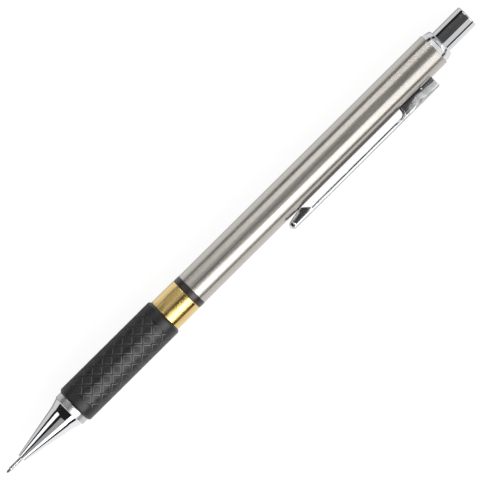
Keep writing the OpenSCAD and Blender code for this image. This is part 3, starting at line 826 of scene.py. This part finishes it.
class ClipForm:
    """The folded clip as sections across its sheet, at stations x along the pencil, in millimetres.

    A section's points are (h, z): h goes out from the axis to the clip's back, and z goes across the clip.
    """

    QUARTER = math.pi / 2
    # Shares of the side's height at which the points of its straight part lie
    SIDE = np.linspace(0.0, 1.0, 19)
    # Points along the bend and along half the back
    BEND_STEPS, BACK_STEPS = 9, 5
    # Height of the bend as a share of its radius, and the most of the half width and the height it may take
    BEND_RISE, BEND_WIDTH, BEND_HEIGHT = 0.845, 0.55, 0.6
    # Share of the side's height that stays upright along the arm, and what each other place adds to it
    UPRIGHT = SimpleNamespace(arm=0.35, lobe=0.45, front=0.14, root=-0.51, end=0.18)
    # Half the share over which upright turns into leaning, and what the lobe and the root take off it
    SOFT, SOFT_CUT = 0.3, 0.16
    # Share of the lean that the root's front lacks, and the share that each lean gains with its height
    FRONT_CUT, LEAN_GAIN = 0.13, 0.06
    # Most of the half width that a rim may take, and the thickness of the side walls in sheets
    RIM_WIDTH, WALL_SHARE = 0.45, 0.9
    # Slope of the slot's chamfer, its reach before the root in root fillets, and past the root's front
    CHAMFER_SLOPE, SLOT_BEFORE, SLOT_PAST = 1.2, 1.2, 0.1
    # Length over which the hollow opens, its least share of the height, and the half width where walls meet
    HOLLOW_RISE, HOLLOW_LEAST, MET = 0.9, 0.02, 0.001
    # Stretches over which something changes, measured from the nose
    DRAWN_FADE, LOBE_FADE = (3.4, 5.4), (4.5, 7.0)
    # Stretches measured from the root's front
    FRONT_RISE, RIM_FADE, REAR_RISE = (-1.0, 0.6), (0.0, 0.4), (0.3, 3.6)
    LEAN_RISE, LOWER_RISE = (1.2, 3.8), (3.2, 4.6)
    # Stretches measured from the foot plate's front, and one from the clip's rear end
    LOWER_FADE, HOLLOW_FADE, END_RISE = (-1.8, -0.4), (-0.6, 0.0), (-3.0, 0.0)

    def __init__(self, size):
        self.size = size
        depth, lobe, fillet = size.arm_depth, size.lobe_radius, size.root_fillet
        # The low edge: round the nose, straight to the lobe, round it, up to the arm, and down into the root
        self.arm = CLIP_TOP - depth
        self.nose = np.array([CLIP_FROM + depth, self.arm])
        self.ball = np.array([CLIP_FROM + size.lobe_at, BARREL_R - size.lobe_sink + lobe])
        gap = np.linalg.norm(self.ball - self.nose)
        along, lean = (self.ball - self.nose) / gap, (depth - lobe) / gap
        out = along * lean + np.array([along[1], -along[0]]) * half_chord(1.0, lean)
        self.leave, self.touch = self.nose + depth * out, self.ball + lobe * out
        self.rise = self.ball + lobe * np.array([1, -1]) / math.sqrt(2)
        self.arm_from = self.rise[0] + self.arm - self.rise[1]
        self.root = CLIP_TO - size.root_length
        self.hollow = np.array([self.root - fillet, self.arm - fillet])
        quarter = np.linspace(0.0, self.QUARTER, 40)
        self.edge = np.array([(x, self.low(x)) for x in np.concatenate([
            CLIP_FROM + depth * (1 - np.cos(quarter)),
            np.arange(self.nose[0], self.arm_from + 0.5, 0.04),
            np.arange(self.arm_from + 0.5, self.hollow[0], 0.4),
            self.hollow[0] + fillet * np.sin(quarter),
            np.arange(self.root, CLIP_TO + 0.4, 0.03),
        ])])

    def low(self, x):
        """Height of the low edge at a station."""
        size = self.size
        if x < self.leave[0]:
            return self.nose[1] - half_chord(size.arm_depth, x - self.nose[0])
        if x < self.touch[0]:
            return float(np.interp(x, *zip(self.leave, self.touch)))
        if x < self.rise[0]:
            return self.ball[1] - half_chord(size.lobe_radius, x - self.ball[0])
        if x < self.arm_from:
            return self.rise[1] + x - self.rise[0]
        if x < self.hollow[0]:
            return self.arm
        if x < self.root:
            return self.hollow[1] + half_chord(size.root_fillet, x - self.hollow[0])
        corner = (self.hollow[1] - size.skirt_low) * max(0.0, 1 - (x - self.root) / size.skirt_turn) ** 2
        skirt_to = SADDLE_FROM - size.skirt_gap
        step = (size.root_low - size.skirt_low) * ease(x, skirt_to - size.skirt_turn, skirt_to)
        return size.skirt_low + corner + step

    def stations(self):
        """Stations along the clip, close together where its outline turns."""
        root, hollow = self.root, self.hollow[0]
        nose = CLIP_FROM + CLIP_HALF * (1 - np.cos(np.linspace(0.0, self.QUARTER, 26)))[1:]
        arm = np.linspace(CLIP_FROM + 6.9, hollow - 0.3, 30)
        fillet = hollow + (root - hollow) * np.sin(np.linspace(-0.1, self.QUARTER, 22))
        end = CLIP_TO - 0.3 + 0.3 * np.sin(np.linspace(-0.4, self.QUARTER, 9))
        lobe = (nose[-1] + 0.1, CLIP_FROM + 6.6, 0.1)
        front_corner = (root + 0.03, root + 1.4, 0.05)
        side = (root + 1.6, SADDLE_FROM - 0.8, 0.2)
        skirt_end = (SADDLE_FROM - 0.7, SADDLE_FROM + 0.1, 0.04)
        foot = (SADDLE_FROM + 0.3, CLIP_TO - 0.5, 0.2)
        even = [np.arange(*stretch) for stretch in (lobe, front_corner, side, skirt_end, foot)]
        return np.unique(np.round(np.concatenate([nose, arm, fillet, end, *even]), 5))

    def leans(self, x, shares):
        """Leans of the side at shares of its height; its lower part is upright, more of it at the lobe."""
        upright, past_root = self.UPRIGHT, x - self.root
        lobe, end = 1 - ease(x - CLIP_FROM, *self.LOBE_FADE), ease(x - CLIP_TO, *self.END_RISE)
        front, rear = ease(past_root, *self.FRONT_RISE), ease(past_root, *self.REAR_RISE)
        middle = upright.arm + upright.lobe * lobe + upright.end * end
        middle += front * (upright.front + upright.root * rear)
        soft = self.SOFT - self.SOFT_CUT * max(lobe, rear)
        most = self.size.side_lean * (1 - self.FRONT_CUT * front * (1 - ease(past_root, *self.LEAN_RISE)))
        low, high = max(0.0, middle - soft), middle + soft
        return np.array([most * (ease(s, low, high) + self.LEAN_GAIN * max(s, 0.0)) for s in shares])

    def outer_skin(self, x, width, bottom, top):
        """Points from the low edge over the side and the bend to the middle of the back."""
        size, tall = self.size, top - bottom
        bend = min(size.bend, self.BEND_WIDTH * width, self.BEND_HEIGHT * tall)
        straight_to = top - self.BEND_RISE * bend
        # The skirt is upright; the lean starts above it, and a little lower in the middle of the root
        base = bottom
        if x > self.root:
            lower = ease(x - self.root, *self.LOWER_RISE) * (1 - ease(x - SADDLE_FROM, *self.LOWER_FADE))
            base = max(bottom, size.root_low - size.lean_drop * lower)
        heights = bottom + self.SIDE * (straight_to - bottom)
        leans = self.leans(x, (heights - base) / max(straight_to - base, 1e-4))
        # The side follows its leans, the bend takes up the last one, and a crowned back closes the section
        slopes = np.tan(leans)
        inwards = np.concatenate([[0.0], np.cumsum((slopes[1:] + slopes[:-1]) / 2 * np.diff(self.SIDE))])
        last, flat = leans[-1], math.tan(size.crown / 2)
        curl = bend * (math.cos(last) - math.sin(size.crown))
        lift = bend * (math.cos(size.crown) - math.sin(last))
        side = (tall - lift - (width - curl) * flat) / (1 - inwards[-1] * flat)
        points = list(zip(bottom + side * self.SIDE, width - side * inwards))
        back, over = (points[-1][1] - curl) / math.sin(size.crown), self.QUARTER - size.crown
        bend_arc, back_arc = (bend, last, over, self.BEND_STEPS), (back, over, self.QUARTER, self.BACK_STEPS)
        for radius, start, stop, steps in (bend_arc, back_arc):
            h, z = points[-1] + radius * np.array([-math.sin(start), -math.cos(start)])
            turns = np.linspace(start, stop, steps + 1)[1:]
            points += [(h + radius * math.sin(a), z + radius * math.cos(a)) for a in turns]
        return np.array(points)

    def inset(self, x, width, outer):
        """How far each outer point is drawn in where the sheet's edges are rounded or chamfered."""
        size, edge = self.size, self.edge
        away = np.hypot(outer[:, :1] - edge[None, :, 1], x - edge[None, :, 0])
        rim = max(size.rim, size.drawn_rim * (1 - ease(x - CLIP_FROM, *self.DRAWN_FADE)))
        rim = min(rim, self.RIM_WIDTH * width)
        rim += (size.root_rim - rim) * ease(x - self.root, *self.RIM_FADE)
        over = np.maximum(0.0, rim - away.min(1))
        rounding = rim - np.sqrt(rim ** 2 - over ** 2)
        past_root = edge[:, 0] - self.root
        slot_end = (past_root > -self.SLOT_BEFORE * size.root_fillet) & (past_root < self.SLOT_PAST)
        chamfer = self.CHAMFER_SLOPE * (size.slot_chamfer - away[:, slot_end].min(1))
        return np.maximum(rounding, chamfer)

    def inner_skin(self, x, width, bottom, top, outer):
        """Points of the hollow under the sheet, which runs from behind the nose to the foot plate."""
        sheet, tall = self.size.sheet, top - bottom
        hollow = ease(x - CLIP_FROM, sheet, sheet + self.HOLLOW_RISE)
        hollow *= 1 - ease(x - SADDLE_FROM, *self.HOLLOW_FADE)
        roof = bottom + (hollow > self.HOLLOW_LEAST) * hollow * max(0.0, tall - sheet)
        inner = outer.copy()
        inner[:, 0] = np.minimum(bottom + (outer[:, 0] - bottom) * max(0.0, tall - sheet) / tall, roof)
        inner[0, 0] = bottom
        walls = np.minimum(outer[:, 1] - self.WALL_SHARE * sheet, max(0.0, width - sheet))
        inner[:, 1] = np.maximum(0.0, walls)
        at_roof = inner[:, 0] >= roof
        inner[at_roof, 1] = np.minimum.accumulate(inner[at_roof, 1])
        # Where the walls meet under the back, the roof is one point
        met = inner[:, 1] <= self.MET
        if met.any():
            inner[met] = inner[met].min(0)
        return inner

    def section(self, x):
        """Closed loop of points across the folded sheet at a station."""
        size, into = self.size, x - CLIP_FROM
        closing = max(0.0, x - (CLIP_TO - size.end_round)) / size.end_round
        pull = size.end_round * (1 - half_chord(1.0, closing))
        width = half_chord(CLIP_HALF, max(0.0, CLIP_HALF - into)) - pull
        top = self.arm + half_chord(size.arm_depth, max(0.0, size.arm_depth - into)) - pull
        bottom = min(self.low(x) + 0.5 * pull, top - 1e-4)
        outer = self.outer_skin(x, width, bottom, top)
        outer[:, 1] = np.maximum(0.0, outer[:, 1] - self.inset(x, width, outer))
        inner = self.inner_skin(x, width, bottom, top, outer)
        over, under = [[*skin, *(skin[-2::-1] * (1, -1))] for skin in (outer, inner)]
        return over + under[::-1]

    def mesh(self):
        """The folded clip as one closed skin over its sections."""
        rings = [[(x, -h, z) for h, z in self.section(x)] for x in self.stations()]
        total = len(rings[0])
        verts = [point for loop in rings for point in loop] + [(CLIP_FROM, -self.arm, 0.0)]
        starts = [i * total for i in range(len(rings))]
        faces = [(a + k, a + (k + 1) % total, b + (k + 1) % total, b + k)
                 for a, b in zip(starts, starts[1:]) for k in range(total)]
        faces += [(k, len(verts) - 1, (k + 1) % total) for k in range(total)]
        # The rear end is closed by joining each outer point to its partner on the inner skin
        first, last = starts[-1], starts[-1] + total - 1
        faces += [(first + k, first + k + 1, last - k - 1, last - k) for k in range(total // 2 - 1)]
        mesh = mesh_of("clip_folded", verts, faces, crease=40.0)
        # Points that lie deeper than most of the sheet are inside the fold, and are marked for the finish's
        # painted shade
        skin = 0.75 * self.size.sheet
        inside = mesh.attributes.new("inside", "FLOAT", "POINT")
        for vertex, mark in zip(mesh.vertices, inside.data):
            x, y, z = vertex.co / MM
            under = -y < CLIP_TOP - skin and abs(z) < CLIP_HALF - skin
            mark.value = float(under and x > CLIP_FROM + CLIP_HALF)
        return mesh


def foot_mesh(bevel):
    """Foot plate between barrel and clip: flat on top, hollowed to the barrel, with bevelled edges."""
    columns = np.linspace(-SADDLE_HALF, SADDLE_HALF, 13)
    seat = BARREL_R + 0.5 * FIT
    loop = [(-SADDLE_TOP, z) for z in columns] + [(-half_chord(seat, z), z) for z in columns[::-1]]
    total = len(loop)
    verts = [(x, y, z) for x in (SADDLE_FROM, SADDLE_TO) for y, z in loop]
    faces = [(k, (k + 1) % total, total + (k + 1) % total, total + k) for k in range(total)]
    for base in (0, total):
        last = base + total - 1
        faces += [(base + k, base + k + 1, last - k - 1, last - k) for k in range(len(columns) - 1)]

    def prepare(modifier):
        modifier.width, modifier.segments = bevel * MM, 3
        modifier.limit_method, modifier.angle_limit = "ANGLE", math.radians(40)

    # With a small crease angle the plate's faces stay flat between their bevels
    plain = mesh_of("clip_foot_plain", verts, faces)
    return modified("clip_foot", plain, "BEVEL", prepare, crease=10.0)


# Operators, with profiles as lists of corners (x, r, fillet) in millimetres

class PENCIL_OT_tip(Operator):
    """Turn the plated tip with its thread, and the lead pipe pressed into it"""

    bl_idname = "pencil.tip"
    bl_label = "Tip and lead pipe"

    # How far each step of the bore reaches, from the rear end to the front, and its radius
    BORE = ((18.04, 2.31), (14.82, 1.95), (8.84, 1.6), (PIPE_TO, 0.94))

    def execute(self, context):
        size = millimetres(context.scene.pencil_sizes)
        flare, band, grip = tip_stations(size)
        hole = PIPE_BASE_R + FIT
        core = size.screw_radius - size.thread_depth
        corners = [
            (TIP_FROM, hole, 0.02),
            (TIP_FROM, size.nose_radius, size.nose_edge),
            (flare, size.cone_radius, size.flare_fillet),
            (band, size.flare_radius, 0.04),
            (band + BAND_R - size.flare_radius, BAND_R, size.band_edge),
            (grip, BAND_R, size.nose_edge),
            (grip, core, 0.03),
            (TIP_TO, core, 0.25),
            (TIP_TO, self.BORE[0][1], 0.05),
        ]
        narrower = [radius for _, radius in self.BORE[1:]] + [hole]
        for (reach, radius), step in zip(self.BORE, narrower):
            corners += [(reach, radius, 0.02), (reach, step, 0.02)]
        place_turned("tip_shell", corners, "tip_chrome", "tip", "tip_cone")
        run = TIP_TO - grip - 2 * size.thread_margin
        thread = grown(
            "tip_thread", "helix", "tip_chrome",
            dict(Start=grip + size.thread_margin, Length=run,
                 Radius=size.screw_radius - size.thread_ridge / 2, Wire=size.thread_ridge),
            dict(Turns=run / size.thread_pitch, Sides=6, Steps=48))
        place("tip_thread", thread, "tip_chrome", "tip")
        place_turned("pipe_nose", [
            (PIPE_FROM, size.pipe_bore, 0.03),
            (PIPE_FROM, size.pipe_radius, 0.09),
            (size.pipe_out, size.pipe_radius, 0.0),
            (size.pipe_out, PIPE_BASE_R, 0.02),
            (PIPE_TO, PIPE_BASE_R, 0.02),
            (PIPE_TO, size.pipe_bore, 0.02),
        ], "pipe_steel", "tip_insert", "lead_pipe")
        return {"FINISHED"}


class PENCIL_OT_lead(Operator):
    """Draw the lead that writes, with a worn point, and finish the spare ones"""

    bl_idname = "pencil.lead"
    bl_label = "Leads"

    def execute(self, context):
        size = millimetres(context.scene.pencil_sizes)
        place_turned("lead_core", [
            (LEAD_FROM, 0.0, 0.0),
            (LEAD_FROM, size.point_radius, 0.04),
            (LEAD_FROM + size.point_length, LEAD_R, 0.06),
            (LEAD_TO, LEAD_R, 0.02),
            (LEAD_TO, 0.0, 0.0),
        ], "graphite", "writing_lead", "lead", closed=False)
        coat(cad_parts["spare_leads"].data, "graphite")
        return {"FINISHED"}


class PENCIL_OT_grip(Operator):
    """Mould the rubber grip and its diamond pads"""

    bl_idname = "pencil.grip"
    bl_label = "Grip"

    def execute(self, context):
        size = millimetres(context.scene.pencil_sizes)
        bore, lip, floor = size.core_radius, GRIP_R - size.lip_drop, GRIP_R - size.pad_height
        first, last = GRIP_FROM + size.grip_margin, GRIP_TO - size.grip_margin
        place_turned("grip_body", [
            (GRIP_FROM, bore, 0.05),
            (GRIP_FROM, lip, size.grip_rim),
            (first, lip, 0.05),
            (first + size.grip_ramp, floor, 0.05),
            (last - size.grip_ramp, floor, 0.05),
            (last, lip, 0.05),
            (GRIP_TO, lip, size.grip_rim),
            (GRIP_TO, bore, 0.05),
        ], "grip_rubber", SHELL, "grip_sleeve")
        columns = int(2 * (last - first) / size.pad_pitch) + 1
        start = (GRIP_FROM + GRIP_TO) / 2 - (columns - 1) * size.pad_pitch / 4
        pads = grown(
            "grip_diamonds", "diamond_pads", "grip_rubber",
            dict(Start=start, Pitch=size.pad_pitch, Radius=floor, Foot=size.pad_foot, Top=size.pad_top,
                 Height=size.pad_height, Sunk=size.pad_sunk),
            dict(Columns=columns, Around=size.pads_around, Turn=size.pad_turn), crease=24.0)
        place("grip_diamonds", pads, "grip_rubber", SHELL)
        return {"FINISHED"}


class PENCIL_OT_rings(Operator):
    """Turn the gilt ring and the black spacer ring"""

    bl_idname = "pencil.rings"
    bl_label = "Rings"

    def execute(self, context):
        bore = millimetres(context.scene.pencil_sizes).core_radius
        gilt = ring(GILT_FROM, GILT_TO, bore, GILT_R, inner_edge=0.04, front_edge=0.14, rear_edge=0.25)
        place_turned("gilt_band", gilt, "gilt", SHELL, "gilt_ring")
        spacer = ring(SPACER_FROM, SPACER_TO, bore, SPACER_R, inner_edge=0.04, front_edge=0.1, rear_edge=0.1)
        place_turned("spacer_band", spacer, "spacer_plastic", SHELL, "spacer_ring")
        return {"FINISHED"}


class PENCIL_OT_barrel(Operator):
    """Turn the satin barrel"""

    bl_idname = "pencil.barrel"
    bl_label = "Barrel"

    def execute(self, context):
        bore = millimetres(context.scene.pencil_sizes).barrel_bore
        tube = ring(BARREL_FROM, BARREL_TO, bore, BARREL_R, inner_edge=0.05, front_edge=0.1, rear_edge=0.12)
        place_turned("barrel_shell", tube, "barrel_steel", SHELL, "barrel_tube")
        return {"FINISHED"}


class PENCIL_OT_clip(Operator):
    """Fold the pocket clip and set its foot plate on the barrel"""

    bl_idname = "pencil.clip"
    bl_label = "Pocket clip"

    def execute(self, context):
        size = millimetres(context.scene.pencil_clip)
        place("clip_folded", ClipForm(size).mesh(), "clip_chrome", "clip", "pocket_clip")
        place("clip_foot", foot_mesh(size.foot_bevel), "clip_chrome", SHELL, "clip_saddle")
        return {"FINISHED"}


class PENCIL_OT_end(Operator):
    """Turn the collar, the push button and the eraser under it"""

    bl_idname = "pencil.end"
    bl_label = "Collar and button"

    def execute(self, context):
        size = millimetres(context.scene.pencil_sizes)
        seat, groove_at = size.barrel_bore - FIT, BARREL_TO + size.collar_band
        # The collar tapers by a tenth along its groove, and its end face leans a little
        taper, end_lean = 0.1 * size.groove_half, 0.02
        place_turned("collar_bush", [
            (COLLAR_FROM, size.collar_bore, 0.05),
            (COLLAR_FROM, seat, 0.1),
            (BARREL_TO, seat, 0.02),
            (BARREL_TO, COLLAR_R, 0.05),
            (groove_at - size.groove_half, size.collar_nose + taper, 0.03),
            (groove_at, size.collar_nose - size.groove_depth, 0.02),
            (groove_at + size.groove_half, size.collar_nose - taper, 0.03),
            (COLLAR_TO - end_lean, size.collar_end, size.collar_round),
            (COLLAR_TO, size.collar_bore, 0.05),
        ], "collar_chrome", SHELL, "end_collar")
        room = size.button_bore - size.button_step
        place_turned("button_cap", [
            (BUTTON_TO - size.button_wall, 0.0, 0.0),
            (BUTTON_TO - size.button_wall, room, 0.1),
            (TUBE_TO + FIT, room, 0.03),
            (TUBE_TO + FIT, size.button_bore, 0.03),
            (BUTTON_FROM, size.button_bore, 0.05),
            (BUTTON_FROM, BUTTON_R, 0.1),
            (BUTTON_TO, BUTTON_R, size.button_rim),
            (BUTTON_TO, 0.0, 0.0),
        ], "button_chrome", "button", "push_button", closed=False)
        place_turned("eraser_plug", [
            (ERASER_FROM, 0.0, 0.0),
            (ERASER_FROM, size.plug_radius, 0.15),
            (TUBE_TO, size.plug_radius, 0.02),
            (TUBE_TO, ERASER_R, 0.06),
            (ERASER_TO, ERASER_R, 0.45),
            (ERASER_TO, 0.0, 0.0),
        ], "eraser_rubber", "feed", "eraser", closed=False)
        return {"FINISHED"}


class PENCIL_OT_mechanism(Operator):
    """Wind the chuck spring, mould the lead tube and finish the chuck's own parts"""

    bl_idname = "pencil.mechanism"
    bl_label = "Mechanism"

    # CAD nodes that keep their own shape, and their finishes
    DRESSED = {
        "lead_retainer": "retainer_rubber", "chuck_collet": "chuck_brass", "chuck_ring": "chuck_brass",
        "chuck_sleeve": "sleeve_brass", "chuck_connector": "feed_plastic", "grip_core": "core_aluminium",
    }

    def execute(self, context):
        size = millimetres(context.scene.pencil_sizes)
        tall = SPRING_TO - SPRING_FROM
        coil = grown(
            "spring_wire", "helix", "spring_steel",
            dict(Start=SPRING_FROM + size.wire / 2, Length=tall - size.wire, Radius=SPRING_R - size.wire / 2,
                 Wire=size.wire),
            dict(Turns=float(size.spring_turns), Sides=10, Steps=36))
        spring = place("spring_wire", coil, "spring_steel", SHELL, "chuck_spring")
        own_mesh(spring)
        head_at = TUBE_TO - size.tube_head
        place_turned("magazine_tube", [
            (TUBE_FROM, size.tube_bore, 0.04),
            (TUBE_FROM, size.tube_radius, 0.06),
            (head_at - (TUBE_HEAD_R - size.tube_radius), size.tube_radius, 0.2),
            (head_at, TUBE_HEAD_R, 0.2),
            (TUBE_TO, TUBE_HEAD_R, 0.12),
            (TUBE_TO, size.tube_bore, 0.06),
        ], "feed_plastic", "feed", "lead_tube")
        for node, slot in self.DRESSED.items():
            coat(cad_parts[node].data, slot)
        return {"FINISHED"}


# Stage

# Name, setting and share of it, angles from overhead in degrees (+ towards the clip), stations in millimetres
SOFT_BOXES = (
    ("right", "right_light", 1.0, (24, 67), (52, 143)),
    ("right_ring", "right_light", 2.2, (27, 51), (37, 52)),
    ("right_grip", "right_light", 2.1, (24, 60), (-6, 37)),
    ("right_pipe", "right_light", 0.16, (24, 60), (-36, -6)),
    ("right_tip", "right_light", 2.1, (24, 60), (-90, -36)),
    ("right_front", "right_light", 1.0, (38, 66), (-1000, -90)),
    ("right_button", "rear_light", 1.0, (24, 70), (143, 182)),
    ("button", "rear_light", 0.09, (-60, 24), (145, 182)),
    ("right_rear", "right_light", 1.2, (24, 70), (182, 215)),
    ("right_end", "right_light", 0.42, (24, 70), (300, 1100)),
    ("grip", "right_light", 3.6, (8, 24), (-14, 14)),
    ("grip_front", "right_light", 2.4, (0, 24), (-90, -42)),
    ("pipe", "right_light", 0.12, (-64, 24), (-40, -16)),
    ("left_front", "left_light", 1.0, (-64, -34), (-330, -100)),
    ("left", "left_light", 1.0, (-64, -30), (55, 95)),
    ("left_clip", "left_light", 1.4, (-64, -30), (95, 138)),
    ("left_rear", "left_light", 4.6, (-64, -24), (183, 215)),
    ("left_end", "left_light", 0.3, (-64, -20), (300, 800)),
    ("left_ring", "left_light", 0.9, (-34, -12), (32, 54)),
    ("left_ring_low", "left_light", 1.0, (-90, -62), (36, 49)),
    ("left_fill", "left_light", 0.15, (-30, -8), (56, 125)),
    ("front", "front_light", 1.0, (-8, 38), (-300, -100)),
    ("rear", "rear_light", 1.05, (-62, 66), (215, 700)),
)
# Where the floor's white changes, in millimetres from the axis: beside the pencil and below the clip
NEAR_FADE, SIDE_RISE, BELOW_RISE, BELOW_FADE = (7.0, 11.0), (0.0, 4.0), (-9.0, -7.5), (-3.0, -2.0)
# How far in millimetres a step of that white reaches to each side, and the slopes at the clip's two ends
STEP_HALF, CLIP_SLOPE = 0.5, 2.0
# Radius of the floor and height of the wall round it, in metres, and how many sides they have
FLOOR_REACH, WALL, FLOOR_SIDES = 3.0, 0.16, 64
# Focal length and sensor width in millimetres
FOCAL, SENSOR = 400.0, 36.0


def soft_box(name, radiance, angles, stations, distance):
    """A soft box between two angles and two stations, facing the pencil's axis."""
    tilt, half = math.radians(sum(angles) / 2), math.radians(angles[1] - angles[0]) / 2
    first, last = [station * MM for station in stations]
    lamp = bpy.data.lights.new(name, "AREA")
    lamp.shape, lamp.size, lamp.size_y = "RECTANGLE", last - first, 2 * distance * math.tan(half)
    lamp.energy = radiance * math.pi * lamp.size * lamp.size_y
    box = bpy.data.objects.new(name, lamp)
    bpy.context.scene.collection.objects.link(box)
    away, along = Vector((0.0, -math.sin(tilt), math.cos(tilt))), Vector((1.0, 0.0, 0.0))
    turn = Matrix((along, away.cross(along), away)).transposed()
    box.matrix_world = Matrix.Translation(away * distance + along * (first + last) / 2) @ turn.to_4x4()
    box.visible_camera = False


def studio_white(stage):
    """Floor and backdrop: takes the pencil's shadow, and shows white to the eye and in metal."""
    material = bpy.data.materials.new("studio_white")
    material.use_nodes = True
    made = Nodes(material.node_tree)
    made.tree.nodes.clear()
    matt = made.node("ShaderNodeBsdfDiffuse", {"Color": (*stage.floor, 1.0)})
    rays = made.node("ShaderNodeLightPath").outputs
    mirrored = rays["Is Glossy Ray"]
    through = made.maths("MAXIMUM", mirrored, rays["Is Transmission Ray"])
    white = made.times(made.maths("MAXIMUM", rays["Is Camera Ray"], through), stage.floor_glow)
    spot = made.parts(made.node("ShaderNodeTexCoord").outputs["Object"])
    along, aside = [made.times(spot[axis], 1 / MM) for axis in "XY"]
    # Away from the clip, the floor's white that metal mirrors carries painted shade, which steps along the
    # pencil and is greyer close to it, and painted light beside the barrel
    band = GRIP_FROM - millimetres(bpy.context.scene.pencil_sizes).band_length
    dim = made.spread(aside, *NEAR_FADE, stage.tip_shade + stage.edge_shade, stage.tip_shade)
    for station, change in (
        (band, -stage.tip_shade), (GRIP_FROM, stage.grip_shade), (GRIP_TO, -stage.grip_shade),
        (BARREL_FROM, -stage.barrel_lift), (BARREL_TO, stage.barrel_lift), (COLLAR_TO, stage.button_shade),
    ):
        dim = made.plus(dim, made.spread(along, station - STEP_HALF, station + STEP_HALF, 0.0, change))
    dim = made.times(dim, made.spread(aside, *SIDE_RISE))
    # Below the clip, a painted shadow: the floor's white that metal mirrors is dimmed there
    nose_slope = (CLIP_FROM + CLIP_SLOPE, CLIP_FROM + 2 * CLIP_SLOPE)
    end_slope = (CLIP_TO - CLIP_SLOPE, CLIP_TO)
    below = made.times(made.window(aside, BELOW_RISE, BELOW_FADE), made.window(along, nose_slope, end_slope))
    dim = made.plus(dim, made.times(below, stage.clip_shade))
    strength = made.times(white, made.minus(1.0, made.times(dim, mirrored)))
    glow = made.node("ShaderNodeEmission", {"Strength": strength})
    both = made.node("ShaderNodeAddShader", {0: matt.outputs[0], 1: glow.outputs[0]})
    made.node("ShaderNodeOutputMaterial", {"Surface": both.outputs[0]})
    material.cycles.emission_sampling = "NONE"
    return material


class PENCIL_OT_stage(Operator):
    """Lay the floor, set the soft boxes and point the camera"""

    bl_idname = "pencil.stage"
    bl_label = "Stage"

    def execute(self, context):
        scene, stage = context.scene, context.scene.pencil_stage
        scene.view_settings.view_transform = "Standard"
        self.lay_floor(scene, studio_white(stage))
        for name, setting, part, angles, stations in SOFT_BOXES:
            radiance = part * getattr(stage, setting)
            soft_box("soft_box_" + name, radiance, angles, stations, stage.light_distance)
        scene.world = bpy.data.worlds.new("studio")
        scene.world.use_nodes = True
        scene.world.node_tree.nodes["Background"].inputs["Color"].default_value = (*stage.room, 1.0)
        self.point_camera(scene, stage)
        return {"FINISHED"}

    def lay_floor(self, scene, white):
        """A round floor at the pencil's lowest point, and a low wall round it."""
        n = FLOOR_SIDES
        around = [2 * math.pi * k / n for k in range(n)]
        rim = [(FLOOR_REACH * math.cos(a), FLOOR_REACH * math.sin(a), CAD_BOX[0].z) for a in around]
        raised = [(x, y, z + WALL) for x, y, z in rim]
        wall = [(k, n + k, n + (k + 1) % n, (k + 1) % n) for k in range(n)]
        for name, verts, faces in (
            ("studio_floor", rim, [list(range(n))]), ("studio_backdrop", rim + raised, wall),
        ):
            mesh = bpy.data.meshes.new(name)
            mesh.from_pydata(verts, [], faces)
            mesh.materials.append(white)
            ground = bpy.data.objects.new(name, mesh)
            scene.collection.objects.link(ground)

    def point_camera(self, scene, stage):
        """A long lens straight above the pencil, turned so that the pencil leans in the picture."""
        lens = bpy.data.cameras.new("camera")
        lens.lens, lens.sensor_width = FOCAL, SENSOR
        lens.clip_start, lens.clip_end = 0.01, 20.0
        camera = bpy.data.objects.new("camera", lens)
        scene.collection.objects.link(camera)
        centre = Matrix.Translation((stage.target, stage.aside, stage.camera_distance))
        camera.matrix_world = centre @ Matrix.Rotation(-stage.lean, 4, "Z")
        scene.camera = camera


class PENCIL_PT_parts(Panel):
    """The pencil's pieces and their settings"""

    bl_idname = "PENCIL_PT_parts"
    bl_label = "Mechanical pencil"
    bl_space_type = "VIEW_3D"
    bl_region_type = "UI"
    bl_category = "Pencil"

    def draw(self, context):
        column = self.layout.column(align=True)
        for operator in OPERATORS:
            column.operator(operator.bl_idname)
        for pointer, group in GROUPS.items():
            box = self.layout.box()
            for label in group.__annotations__:
                box.prop(getattr(context.scene, pointer), label)


GROUPS = {
    "pencil_sizes": PencilSizes, "pencil_clip": ClipSizes,
    "pencil_colours": PencilColours, "pencil_stage": StageSettings,
}
OPERATORS = (
    PENCIL_OT_tip, PENCIL_OT_lead, PENCIL_OT_grip, PENCIL_OT_rings, PENCIL_OT_barrel,
    PENCIL_OT_clip, PENCIL_OT_end, PENCIL_OT_mechanism, PENCIL_OT_stage,
)
CLASSES = (*GROUPS.values(), *OPERATORS, PENCIL_PT_parts)


def register():
    for kind in CLASSES:
        bpy.utils.register_class(kind)
    for pointer, group in GROUPS.items():
        setattr(bpy.types.Scene, pointer, PointerProperty(type=group))


def unregister():
    for pointer in GROUPS:
        delattr(bpy.types.Scene, pointer)
    for kind in reversed(CLASSES):
        bpy.utils.unregister_class(kind)


def main():
    """Builds every piece in order."""
    register()
    bpy.ops.pencil.tip()
    bpy.ops.pencil.lead()
    bpy.ops.pencil.grip()
    bpy.ops.pencil.rings()
    bpy.ops.pencil.barrel()
    bpy.ops.pencil.clip()
    bpy.ops.pencil.end()
    bpy.ops.pencil.mechanism()
    bpy.ops.pencil.stage()


if __name__ == "__main__":
    main()
